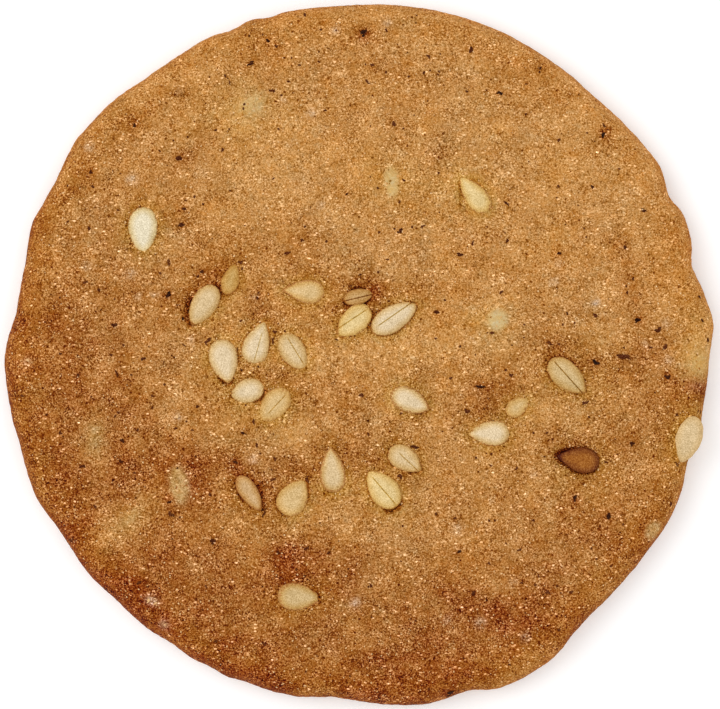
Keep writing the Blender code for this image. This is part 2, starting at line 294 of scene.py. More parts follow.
GAPS = gaps(
    (1, 90, 160, 0.20, 0.35), (1, 330, 370, 0.15, 0.35), (2, 148, 242, 0.34, 1.30), (2, 22, 62, 0.22, 1.00),
    (3, 60, 150, 0.12, 0.50), (3, 245, 335, 0.14, 0.65), (4, 250, 298, 0.26, 1.20),
    (4, -10, 45, 0.14, 0.55), (5, 315, 420, 0.12, 0.40), (5, 140, 215, 0.12, 0.45), (6, 10, 80, 0.14, 0.35),
    (6, 200, 300, 0.10, 0.35), (7, 305, 365, 0.22, 1.00), (7, 150, 230, 0.10, 0.35),
    (8, 110, 175, 0.20, 0.60), (9, 140, 200, 0.12, 0.35), (10, 195, 352, 0.24, 1.40),
    (10, 50, 140, 0.16, 1.00), (11, 338, 395, 0.26, 1.10), (11, 180, 260, 0.15, 0.60),
    (12, 222, 372, 0.12, 0.65), (12, 18, 48, 0.16, 1.00), (12, 150, 222, 0.14, 0.80),
    (13, 295, 350, 0.13, 0.55), (14, 150, 210, 0.10, 0.30), (15, 350, 410, 0.18, 0.70),
    (15, 150, 250, 0.12, 0.50), (16, 302, 410, 0.20, 0.75), (16, 130, 228, 0.16, 0.60),
    (17, 280, 350, 0.18, 0.60), (17, 120, 220, 0.13, 0.50), (18, 275, 330, 0.32, 1.30),
    (18, 130, 240, 0.12, 0.45), (19, 200, 340, 0.12, 0.35), (20, 190, 330, 0.10, 0.40),
    (21, 130, 205, 0.30, 1.50), (21, 205, 345, 0.14, 0.95), (21, 0, 130, 0.12, 0.90),
    (22, 60, 200, 0.15, 0.45), (22, 290, 350, 0.15, 0.55), (24, 138, 200, 0.18, 0.55),
    (24, 28, 105, 0.14, 0.35), (25, 120, 240, 0.10, 0.35), (25, 290, 380, 0.12, 0.40),
)

# The width of a gap where there is none, how much of a gap's painted shade the seed's own edge takes, how
# deep a gap is, and the farthest that the nearest seed is said to be
NARROWEST_GAP = 0.05
EDGE_SHADE = 0.4
GAP_DEPTH = 0.12 * MM
FAR_AWAY = 3.0

# Short dark flecks of bran: place, size and darkness
FLECKS = (
    (0.3, 23.4, 0.43, 1.0), (17.2, -0.5, 0.39, 1.0), (-14.0, 4.4, 0.36, 1.0), (20.2, 2.5, 0.33, 1.0),
    (17.7, 16.0, 0.31, 1.0), (15.7, -10.5, 0.34, 0.8), (18.1, -11.8, 0.34, 0.8), (22.4, -1.6, 0.32, 0.8),
    (-13.0, 9.4, 0.35, 0.6), (-9.1, -7.9, 0.30, 0.7), (-13.2, 14.2, 0.35, 0.5), (25.45, 1.05, 0.26, 0.6),
    (-17.9, 2.2, 0.33, 0.5), (19.8, -6.5, 0.27, 0.7), (2.9, 9.0, 0.32, 0.5), (-16.4, 16.7, 0.25, 0.8),
    (8.1, 22.2, 0.34, 0.5), (-6.7, 22.9, 0.24, 0.8), (-10.7, -13.6, 0.31, 0.5), (7.2, -14.3, 0.25, 0.8),
    (-17.3, -6.3, 0.26, 0.7), (-20.2, -8.2, 0.32, 0.4), (-8.5, -5.7, 0.24, 0.7), (5.6, 3.1, 0.28, 0.5),
    (-13.9, -10.7, 0.25, 0.6), (14.5, 7.3, 0.24, 0.7), (16.9, 12.2, 0.22, 0.7), (-17.4, -7.8, 0.25, 0.5),
    (8.3, -17.4, 0.25, 0.5), (-3.9, -14.1, 0.30, 0.3), (-12.8, 10.6, 0.22, 0.6), (-19.6, 13.3, 0.23, 0.6),
    (-11.5, 6.0, 0.22, 0.6), (13.1, 20.9, 0.22, 0.6), (-15.8, -0.3, 0.27, 0.4), (24.8, 4.2, 0.21, 0.6),
    (-16.1, -16.6, 0.28, 0.3), (7.8, -4.1, 0.32, 0.2), (-2.3, -14.4, 0.23, 0.5), (-13.7, -11.6, 0.35, 0.2),
    (19.3, 7.8, 0.21, 0.6), (10.3, 4.5, 0.24, 0.4), (22.2, 0.6, 0.29, 0.2), (25.0, 2.5, 0.21, 0.5),
    (-21.1, -13.5, 0.32, 0.2), (-20.5, -1.5, 0.21, 0.5), (5.0, 21.7, 0.24, 0.4), (-5.9, -14.4, 0.24, 0.4),
    (-19.7, 9.2, 0.22, 0.4), (2.5, 16.8, 0.29, 0.2), (13.7, -17.3, 0.29, 0.2), (-1.0, 11.7, 0.19, 0.6),
    (10.7, 8.3, 0.22, 0.4), (2.9, -8.9, 0.29, 0.2), (-6.1, 22.5, 0.21, 0.4), (4.7, 20.5, 0.20, 0.4),
    (17.1, 2.8, 0.28, 0.1), (15.1, 3.0, 0.19, 0.5), (11.0, -1.5, 0.24, 0.2), (-8.7, 6.7, 0.26, 0.2),
    (-8.6, -1.1, 0.15, 0.7), (-7.5, -6.6, 0.24, 0.2), (-7.5, 4.1, 0.20, 0.4), (-9.8, 20.3, 0.19, 0.4),
    (22.7, -10.9, 0.25, 0.2), (7.3, 0.6, 0.16, 0.5), (-11.8, -3.8, 0.21, 0.3), (-6.3, -9.1, 0.27, 0.1),
    (-21.8, 0.1, 0.19, 0.4), (-10.5, 16.3, 0.18, 0.4), (-10.0, 14.9, 0.21, 0.3), (-19.5, 12.2, 0.21, 0.3),
    (0.1, -3.0, 0.26, 0.1), (10.9, -22.6, 0.18, 0.4), (14.5, 15.6, 0.21, 0.3), (-10.5, -20.9, 0.21, 0.2),
    (1.9, 23.6, 0.21, 0.2), (0.9, 21.1, 0.22, 0.2), (-16.2, -5.5, 0.19, 0.3), (-11.8, 5.7, 0.19, 0.3),
    (-6.2, 1.7, 0.24, 0.2), (-21.8, -5.7, 0.22, 0.2), (11.4, -8.3, 0.22, 0.2), (-4.0, 24.8, 0.24, 0.1),
    (9.6, 1.6, 0.24, 0.1), (7.8, 19.2, 0.17, 0.4), (-19.0, 4.7, 0.22, 0.2), (-3.0, 21.3, 0.18, 0.3),
    (19.9, 5.5, 0.19, 0.3), (19.5, 4.5, 0.19, 0.3), (0.0, 5.8, 0.19, 0.3), (14.5, -20.1, 0.20, 0.2),
    (15.4, -17.3, 0.20, 0.2), (14.4, 12.2, 0.21, 0.2), (21.2, 0.5, 0.19, 0.3), (-12.2, -5.5, 0.17, 0.3),
    (-14.6, 14.8, 0.15, 0.4), (1.2, 3.1, 0.14, 0.5), (-6.2, -7.6, 0.23, 0.1), (-17.6, -4.2, 0.17, 0.3),
    (1.3, 12.1, 0.15, 0.4), (-10.9, -10.2, 0.22, 0.1), (-19.3, -11.1, 0.22, 0.1), (13.6, -5.7, 0.16, 0.3),
    (-4.2, 8.3, 0.22, 0.1), (6.6, -1.7, 0.19, 0.2), (6.9, -11.9, 0.19, 0.2), (-25.2, 1.9, 0.15, 0.3),
    (0.6, -5.8, 0.17, 0.2), (-18.1, 0.0, 0.17, 0.2), (-5.2, 19.9, 0.18, 0.2), (9.4, -12.1, 0.16, 0.3),
    (5.7, 13.2, 0.15, 0.3), (9.4, -15.2, 0.18, 0.2), (5.5, -11.6, 0.19, 0.2), (-21.3, 12.3, 0.16, 0.2),
    (12.6, -12.1, 0.19, 0.1), (-22.8, -4.4, 0.16, 0.2), (3.2, 12.7, 0.19, 0.1), (3.0, -4.3, 0.19, 0.1),
    (-9.5, 16.4, 0.15, 0.3), (-16.4, -8.6, 0.16, 0.2), (5.5, 1.2, 0.17, 0.2), (-6.3, 12.8, 0.15, 0.3),
    (-24.6, -3.0, 0.19, 0.1), (23.1, -4.4, 0.17, 0.2), (-13.4, -5.4, 0.19, 0.1), (12.1, 19.7, 0.15, 0.2),
    (12.6, -5.7, 0.15, 0.3), (12.1, 17.5, 0.15, 0.3), (-4.4, 21.1, 0.17, 0.2), (11.8, -16.6, 0.15, 0.3),
    (2.9, 11.1, 0.18, 0.1),
)

# Longer ones: place, length, width, bearing and darkness
SLIVERS = (
    (19.2, -0.18, 0.90, 0.30, 166, 0.35), (21.7, 1.8, 0.42, 0.25, 25, 0.5),
    (8.8, -2.3, 0.55, 0.24, 172, 0.9), (10.2, 19.0, 0.41, 0.18, 178, 1.0),
    (-8.0, 21.2, 0.50, 0.22, 31, 0.8), (4.0, -6.7, 0.49, 0.20, 151, 0.5), (7.3, 7.3, 0.41, 0.18, 166, 0.5),
    (-11.1, 1.0, 0.56, 0.20, 54, 0.3), (20.7, 10.5, 0.35, 0.15, 157, 0.5),
    (-7.0, -11.6, 0.43, 0.15, 68, 0.4), (16.4, -3.5, 0.43, 0.18, 16, 0.3),
    (10.7, 11.0, 0.40, 0.14, 129, 0.4), (17.8, 16.7, 0.33, 0.15, 119, 0.4),
    (-6.4, 19.2, 0.40, 0.17, 171, 0.3), (0.6, 19.9, 0.38, 0.17, 137, 0.3),
    (13.8, 0.8, 0.41, 0.15, 163, 0.2), (-17.7, -1.4, 0.42, 0.18, 98, 0.1),
    (-13.9, 6.7, 0.42, 0.15, 104, 0.2), (-20.0, 5.3, 0.32, 0.15, 17, 0.3), (-5.3, 7.4, 0.44, 0.16, 3, 0.1),
    (-8.9, 0.4, 0.22, 0.08, 111, 0.7), (-6.3, 1.0, 0.44, 0.14, 83, 0.1), (-3.8, -9.1, 0.42, 0.15, 112, 0.1),
    (23.1, -8.0, 0.36, 0.10, 132, 0.3), (-7.7, -4.9, 0.33, 0.14, 110, 0.2),
    (-7.0, -21.1, 0.32, 0.14, 152, 0.2), (4.6, 9.3, 0.31, 0.14, 53, 0.2),
    (0.8, -16.8, 0.34, 0.13, 131, 0.2), (8.2, 8.1, 0.33, 0.12, 91, 0.2), (11.6, -14.2, 0.32, 0.11, 26, 0.2),
    (-9.5, 19.8, 0.32, 0.10, 113, 0.2), (24.9, -4.2, 0.27, 0.09, 79, 0.3), (2.0, 6.9, 0.24, 0.11, 1, 0.2),
    (-12.8, 0.7, 0.27, 0.09, 121, 0.2), (-11.2, -16.9, 0.25, 0.11, 120, 0.1),
    (-1.7, 1.1, 0.24, 0.10, 153, 0.2), (6.6, -24.75, 0.50, 0.32, 20, 1.0),
    (14.7, -7.35, 0.30, 0.20, 170, 1.0), (-12.9, 2.6, 0.22, 0.16, 90, 0.9),
)

# Pale grains of sugar: place and size
GRAINS = (
    (-15.4, -17.9, 0.29), (-13.3, -4.5, 0.31), (-24.2, -0.4, 0.27), (16.4, -9.5, 0.27), (12.7, -8.8, 0.22),
    (-3.7, -21.4, 0.25), (-22.5, -1.8, 0.19), (11.1, -21.0, 0.20), (-14.9, -18.1, 0.21),
    (10.0, -20.1, 0.21), (15.6, -9.0, 0.21), (11.0, -19.4, 0.16), (-15.7, -15.6, 0.17),
    (-13.1, -18.9, 0.18), (-14.2, -19.7, 0.20), (2.0, 24.3, 0.19), (4.6, -17.7, 0.21), (17.0, -9.6, 0.20),
    (12.6, -8.3, 0.19), (22.5, -0.4, 0.18), (15.4, -11.9, 0.19), (-16.4, -7.1, 0.19), (-23.3, -6.3, 0.19),
    (8.1, -4.5, 0.18), (10.3, -16.7, 0.15), (24.4, 6.5, 0.17), (8.2, -12.3, 0.17), (1.0, -16.5, 0.16),
    (9.4, -13.9, 0.16), (18.1, -8.6, 0.17), (6.8, -16.8, 0.16), (-23.4, -1.8, 0.15), (-11.6, -18.0, 0.16),
    (-1.5, -21.0, 0.14), (-20.3, 4.0, 0.15), (18.0, -14.2, 0.16), (-23.9, -2.3, 0.15), (0.2, -2.3, 0.15),
    (-13.1, -5.6, 0.14), (7.9, -19.4, 0.15), (-16.8, 5.7, 0.15), (18.9, -15.1, 0.15), (11.6, 12.7, 0.15),
    (17.3, -15.3, 0.13),
)

# Paler spots of the crust, where sugar or fat lies under its skin
SPOTS = marks(
    (-16.61, 12.83, 0.60, 0.60, 0, 0.55), (-13.24, -4.47, 0.55, 0.55, 0, 0.50),
    (-24.17, -0.44, 0.45, 0.45, 0, 0.40), (-15.15, -17.90, 0.70, 0.45, 160, 0.50),
    (-14.27, -19.66, 0.45, 0.45, 0, 0.40), (-0.26, -18.04, 0.55, 0.50, 0, 0.50),
    (12.06, -20.61, 0.50, 0.50, 0, 0.40), (-3.56, 17.46, 0.55, 0.60, 0, 0.50),
    (14.49, 6.67, 0.45, 0.50, 0, 0.40), (8.76, -19.51, 0.60, 0.50, 0, 0.45),
    (-2.90, 10.85, 0.50, 0.50, 0, 0.35), (20.79, 0.73, 0.40, 0.40, 0, 0.30),
    (-14.93, 4.25, 0.45, 0.45, 0, 0.35), (-7.74, -7.63, 0.50, 0.45, 0, 0.30),
    (14.19, 5.35, 0.60, 0.50, 60, 0.50), (7.08, -12.69, 0.60, 0.55, 0, 0.50),
    (-19.91, 6.45, 0.50, 0.50, 0, 0.40), (22.33, 2.27, 0.60, 0.50, 0, 0.35),
    (6.34, -19.36, 0.45, 0.45, 0, 0.30), (1.94, 24.20, 0.50, 0.50, 0, 0.45),
    (-13.16, 19.14, 0.45, 0.40, 0, 0.30), (12.65, -8.73, 0.40, 0.40, 0, 0.30),
    (-16.17, 4.18, 0.40, 0.50, 0, 0.35), (-5.61, 18.48, 0.50, 0.50, 0, 0.40),
    (-16.76, 5.87, 0.50, 0.50, 0, 0.35), (11.11, -16.58, 0.45, 0.45, 0, 0.30),
    (-7.66, 4.25, 0.45, 0.45, 0, 0.30), (-1.80, 23.62, 0.50, 0.45, 0, 0.40),
    (-19.77, 15.11, 0.60, 0.60, 0, 0.40), (17.20, 3.81, 0.45, 0.40, 0, 0.45),
    (22.48, -0.37, 0.50, 0.50, 0, 0.35), (-12.28, 1.10, 0.40, 0.50, 0, 0.30),
    (9.57, -10.56, 0.40, 0.40, 0, 0.30),
)

# A stain is this many times as large as its fleck
STAIN_REACH = 2.4


class Teardrop:
    """The outline that every seed has: a rounded base and a pointed tip."""

    base_power = 0.5

    @classmethod
    def girth(cls, along: np.ndarray, taper: float) -> np.ndarray:
        """The share of the full width at each place along, from -1 at the base to 1 at the tip."""
        widest = (cls.base_power - taper) / (cls.base_power + taper)
        fullest = (1 - widest) ** taper * (1 + widest) ** cls.base_power
        return (1 - along) ** taper * (1 + along) ** cls.base_power / fullest

    @classmethod
    def beyond(cls, seed: Seed, x: np.ndarray, y: np.ndarray) -> tuple[np.ndarray, np.ndarray]:
        """How places lie about a seed.

        Args:
            seed: The seed.
            x: The places' x in metres.
            y: The places' y in metres.

        Returns:
            Millimetres beyond the seed's edge, less than 0 inside it, and the bearings from its middle.
        """
        across, up = x / MM - seed.x, y / MM - seed.y
        bearing = np.degrees(np.arctan2(up, across))
        along = np.cos(np.linspace(0, math.pi, 181))
        length, width = along * seed.length / 2, cls.girth(along, seed.taper) * seed.width / 2
        turn = np.abs((bearing - seed.tip + 180) % 360 - 180)
        edge = np.interp(turn, np.degrees(np.arctan2(width, length)), np.hypot(length, width))
        return np.hypot(across, up) - edge, bearing


def deselect() -> None:
    """Leaves nothing selected, so that an operator acts on the new piece alone."""
    if bpy.context.object and bpy.context.object.mode != "OBJECT":
        bpy.ops.object.mode_set(mode="OBJECT")
    bpy.ops.object.select_all(action="DESELECT")


def make_active(obj: bpy.types.Object) -> None:
    """Selects one object alone and makes it the active one."""
    deselect()
    obj.select_set(True)
    bpy.context.view_layer.objects.active = obj


def smooth(obj: bpy.types.Object) -> None:
    """Shades the object smooth all over."""
    make_active(obj)
    bpy.ops.object.shade_smooth()


def apply_modifiers(obj: bpy.types.Object) -> None:
    """Applies every modifier of the object, in order."""
    make_active(obj)
    for modifier in list(obj.modifiers):
        bpy.ops.object.modifier_apply(modifier=modifier.name)


def join(pieces: list[bpy.types.Object], name: str) -> bpy.types.Object:
    """Joins pieces into one object of that name."""
    make_active(pieces[0])
    for piece in pieces:
        piece.select_set(True)
    bpy.ops.object.join()
    joined = bpy.context.object
    joined.name = name
    joined.data.name = name
    return joined


def read_points(obj: bpy.types.Object) -> np.ndarray:
    """The points of the object's mesh as rows of x, y, z."""
    points = np.empty(len(obj.data.vertices) * 3, np.float32)
    obj.data.vertices.foreach_get("co", points)
    return points.reshape(-1, 3).astype(float)


def write_points(obj: bpy.types.Object, points: np.ndarray) -> None:
    """Moves the points of the object's mesh."""
    obj.data.vertices.foreach_set("co", points.astype(np.float32).ravel())
    obj.data.update()


def store(obj: bpy.types.Object, name: str, values: np.ndarray) -> None:
    """Keeps one number for each point, for the material to read."""
    layer = obj.data.attributes.new(name, "FLOAT", "POINT")
    layer.data.foreach_set("value", np.asarray(values, np.float32))


def store_colour(obj: bpy.types.Object, name: str, colour: Colour) -> None:
    """Keeps one colour for all the points of the object."""
    layer = obj.data.attributes.new(name, "FLOAT_COLOR", "POINT")
    layer.data.foreach_set("color", np.tile(colour, len(obj.data.vertices)).astype(np.float32))


class Nodes:
    """Adds and links the nodes of one shader tree."""

    def __init__(self, tree: bpy.types.NodeTree) -> None:
        """Works in this tree."""
        self.tree = tree

    def add(self, kind: str, inputs: dict | None = None, **settings: object) -> bpy.types.Node:
        """Adds a node.

        Args:
            kind: The node's type.
            inputs: What each input takes, by name or number: a value, or a socket to link.
            settings: The node's own settings.

        Returns:
            The new node.
        """
        node = self.tree.nodes.new(kind)
        for name, value in settings.items():
            setattr(node, name, value)
        for key, value in (inputs or {}).items():
            self.feed(node.inputs[key], value)
        return node

    def feed(self, socket: bpy.types.NodeSocket, value: object) -> None:
        """Links a socket into an input, or sets the input's own value."""
        if isinstance(value, bpy.types.NodeSocket):
            self.tree.links.new(value, socket)
        else:
            socket.default_value = value

    def placed(self, tree: bpy.types.NodeTree, inputs: dict) -> bpy.types.bpy_prop_collection:
        """Places a node group with its own inputs, and gives back its outputs."""
        return self.add("ShaderNodeGroup", inputs, node_tree=tree).outputs

    def maths(self, operation: str, first: object, second: object = 0.0, clamp: bool = False) -> object:
        """The result of a sum on two numbers."""
        inputs = {0: first, 1: second}
        return self.add("ShaderNodeMath", inputs, operation=operation, use_clamp=clamp).outputs[0]

    def vectors(self, operation: str, first: object, second: object) -> object:
        """The result of a sum on two vectors or colours."""
        return self.add("ShaderNodeVectorMath", {0: first, 1: second}, operation=operation).outputs[0]

    def weigh(self, *parts: tuple[object, object]) -> object:
        """The sum of several numbers, each times its weight."""
        total = None
        for value, weight in parts:
            scaled = self.maths("MULTIPLY", value, weight)
            total = scaled if total is None else self.maths("ADD", total, scaled)
        return total

    def mix(self, share: object, first: object, second: object, blend: str = "MIX") -> object:
        """A colour between two, or blended from them."""
        inputs = {0: share, 6: first, 7: second}
        return self.add("ShaderNodeMix", inputs, data_type="RGBA", blend_type=blend).outputs[2]

    def tinted(self, share: object, colour: object, tint: Colour) -> object:
        """A colour mixed, by a share, with itself times the tint's channels."""
        return self.mix(share, colour, self.mix(1.0, colour, tint, "MULTIPLY"))

    def clamped(self, value: object) -> object:
        """The number held from 0 to 1."""
        return self.maths("ADD", value, 0.0, clamp=True)

    def fade(self, away: object, width: object, start: float = 1.0) -> object:
        """A number that falls from start by 1 for each width away, held from 0 to 1."""
        return self.maths("SUBTRACT", start, self.maths("DIVIDE", away, width), clamp=True)

    def deepen(self, colour: object, share: object, power: float) -> object:
        """A colour made darker and richer, as in a shadowed gap, by a share of the power."""
        inputs = {"Color": colour, "Gamma": self.weigh((share, power), (1.0, 1.0))}
        return self.add("ShaderNodeGamma", inputs).outputs[0]

    def ramp(self, value: object, low: float, high: float, start: float = 0.0, end: float = 1.0) -> object:
        """A smooth ramp from start at low to end at high."""
        inputs = {"Value": value, "From Min": low, "From Max": high, "To Min": start, "To Max": end}
        return self.add("ShaderNodeMapRange", inputs, interpolation_type="SMOOTHSTEP").outputs[0]

    def noise(self, vector: object, scale: object, detail: float = 2.0, roughness: float = 0.5) -> object:
        """Cloudy noise about zero."""
        inputs = {"Vector": vector, "Scale": scale, "Detail": detail, "Roughness": roughness}
        return self.maths("SUBTRACT", self.add("ShaderNodeTexNoise", inputs).outputs[0], 0.5)

    def mask(self, name: str) -> object:
        """A number that the mesh keeps for each point."""
        return self.add("ShaderNodeAttribute", attribute_name=name).outputs["Fac"]

    def place(self) -> object:
        """The place on the piece, in object coordinates."""
        return self.add("ShaderNodeTexCoord").outputs["Object"]


def new_group(
    name: str, inputs: dict[str, tuple[str, object]], outputs: dict[str, str]
) -> bpy.types.NodeTree:
    """An empty shader node group.

    Args:
        name: The group's name.
        inputs: Each input's socket type and default value, by name. None leaves the default.
        outputs: Each output's socket type, by name.

    Returns:
        The group's tree, with its input and output nodes in place.
    """
    tree = bpy.data.node_groups.new(name, "ShaderNodeTree")
    for socket, (kind, value) in inputs.items():
        made = tree.interface.new_socket(name=socket, in_out="INPUT", socket_type=kind)
        if value is not None:
            made.default_value = value
    for socket, kind in outputs.items():
        tree.interface.new_socket(name=socket, in_out="OUTPUT", socket_type=kind)
    tree.nodes.new("NodeGroupInput")
    tree.nodes.new("NodeGroupOutput")
    return tree


@dataclass(frozen=True)
class Wave:
    """One noise of the sandy grain: its fineness and roughness, and its share of the tone and the height."""

    fineness: float
    roughness: float
    grain: float
    height: float


class Effects:
    """The shader node groups that several finishes share."""

    waves = (Wave(0.09, 0.6, 0.50, 0.4), Wave(0.30, 0.6, 0.44, 1.0), Wave(1.35, 0.85, 3.0, 1.2))
    lump_grain = 0.35
    lump_height = 1.0
    tint_edge = 0.25
    speck_edge = 0.42
    speck_heart = 0.18

    def __init__(self) -> None:
        """Builds the groups once."""
        self.grain = self.sandy_grain()
        self.tone = self.tone_shift()
        self.tint = self.hue_mottle()
        self.specks = self.scattered_specks()

    def sandy_grain(self) -> bpy.types.NodeTree:
        """Fine sandy grain, the sum of noises from several grains wide to part of one.

        Returns:
            The group. Grain is about zero; Height is the same with less of the broadest and finest noises.
        """
        tree = new_group(
            "sandy grain",
            {"Vector": ("NodeSocketVector", None), "Size": ("NodeSocketFloat", 0.2 * MM)},
            {"Grain": "NodeSocketFloat", "Height": "NodeSocketFloat"},
        )
        nodes = Nodes(tree)
        entry = tree.nodes["Group Input"].outputs
        leave = tree.nodes["Group Output"].inputs
        scale = nodes.maths("DIVIDE", 1.0, entry["Size"])
        grain, height = [], []
        for wave in self.waves:
            wave_scale = nodes.maths("MULTIPLY", scale, wave.fineness)
            shape = nodes.noise(entry["Vector"], wave_scale, roughness=wave.roughness)
            grain.append((shape, wave.grain))
            height.append((shape, wave.height))
        cells = nodes.add("ShaderNodeTexVoronoi", {"Vector": entry["Vector"], "Scale": scale})
        lumps = nodes.maths("SUBTRACT", 0.5, cells.outputs["Distance"])
        nodes.feed(leave["Grain"], nodes.weigh(*grain, (lumps, self.lump_grain)))
        nodes.feed(leave["Height"], nodes.weigh(*height, (lumps, self.lump_height)))
        return tree

    def tone_shift(self) -> bpy.types.NodeTree:
        """A colour made lighter or darker by an even step to the eye, in all its channels alike.

        Returns:
            The group. Amount is the step, in shares of the way from black to white.
        """
        tree = new_group(
            "tone shift",
            {"Colour": ("NodeSocketColor", None), "Amount": ("NodeSocketFloat", 0.0)},
            {"Colour": "NodeSocketColor"},
        )
        nodes = Nodes(tree)
        entry = tree.nodes["Group Input"].outputs
        seen = nodes.add("ShaderNodeGamma", {"Color": entry["Colour"], "Gamma": 1 / SCREEN_GAMMA}).outputs[0]
        moved = nodes.vectors("MAXIMUM", nodes.vectors("ADD", seen, entry["Amount"]), (0.0, 0.0, 0.0))
        back = nodes.add("ShaderNodeGamma", {"Color": moved, "Gamma": SCREEN_GAMMA}).outputs[0]
        nodes.feed(tree.nodes["Group Output"].inputs["Colour"], back)
        return tree

    def hue_mottle(self) -> bpy.types.NodeTree:
        """Small patches of a colour tinted one way or the other.

        Returns:
            The group. It takes a colour and puts out the mottled one.
        """
        tree = new_group(
            "hue mottle",
            {
                "Vector": ("NodeSocketVector", None),
                "Size": ("NodeSocketFloat", 1.0 * MM),
                "Colour": ("NodeSocketColor", None),
                "One": ("NodeSocketColor", None),
                "Other": ("NodeSocketColor", None),
            },
            {"Colour": "NodeSocketColor"},
        )
        nodes = Nodes(tree)
        entry = tree.nodes["Group Input"].outputs
        scale = nodes.maths("DIVIDE", 1.0, entry["Size"])
        patches = nodes.noise(entry["Vector"], scale, detail=3.0, roughness=0.7)
        one = nodes.mix(1.0, entry["Colour"], entry["One"], "MULTIPLY")
        other = nodes.mix(1.0, entry["Colour"], entry["Other"], "MULTIPLY")
        colour = nodes.mix(nodes.ramp(patches, 0.0, self.tint_edge), entry["Colour"], one)
        colour = nodes.mix(nodes.ramp(patches, 0.0, -self.tint_edge), colour, other)
        nodes.feed(tree.nodes["Group Output"].inputs["Colour"], colour)
        return tree

    def scattered_specks(self) -> bpy.types.NodeTree:
        """Small round specks, scattered at random.

        Returns:
            The group. Size is the room that each speck has, Share how many of the rooms hold one, and Mask
            is 1 on a speck.
        """
        tree = new_group(
            "scattered specks",
            {
                "Vector": ("NodeSocketVector", None),
                "Size": ("NodeSocketFloat", 0.3 * MM),
                "Share": ("NodeSocketFloat", 0.1),
            },
            {"Mask": "NodeSocketFloat"},
        )
        nodes = Nodes(tree)
        entry = tree.nodes["Group Input"].outputs
        scale = nodes.maths("DIVIDE", 1.0, entry["Size"])
        cells = nodes.add("ShaderNodeTexVoronoi", {"Vector": entry["Vector"], "Scale": scale})
        chance = nodes.add("ShaderNodeSeparateColor", {"Color": cells.outputs["Color"]}).outputs[0]
        held = nodes.maths("LESS_THAN", chance, entry["Share"])
        spot = nodes.ramp(cells.outputs["Distance"], self.speck_edge, self.speck_heart)
        nodes.feed(tree.nodes["Group Output"].inputs["Mask"], nodes.maths("MULTIPLY", held, spot))
        return tree


class Finish:
    """What every finish does: it makes a material and feeds its one shader."""

    name = "finish"
    bump_strength = 0.0
    bump_height = 0.0
    roughness = 0.5
    gloss = 0.5

    def start(self) -> tuple[bpy.types.Material, Nodes, bpy.types.Node]:
        """A new material, its nodes and its shader."""
        material = bpy.data.materials.new(self.name)
        material.use_nodes = True
        return material, Nodes(material.node_tree), material.node_tree.nodes["Principled BSDF"]

    def dress(self, nodes: Nodes, shader: bpy.types.Node, colour: object, height: object = None) -> None:
        """Feeds the shader.

        Args:
            nodes: The material's nodes.
            shader: Its shader.
            colour: The colour to show.
            height: The relief to show, or None for a smooth surface.
        """
        nodes.feed(shader.inputs["Base Color"], colour)
        if height is not None:
            inputs = {"Height": height, "Strength": self.bump_strength, "Distance": self.bump_height}
            nodes.feed(shader.inputs["Normal"], nodes.add("ShaderNodeBump", inputs).outputs[0])
        shader.inputs["Roughness"].default_value = self.roughness
        shader.inputs["Specular IOR Level"].default_value = self.gloss


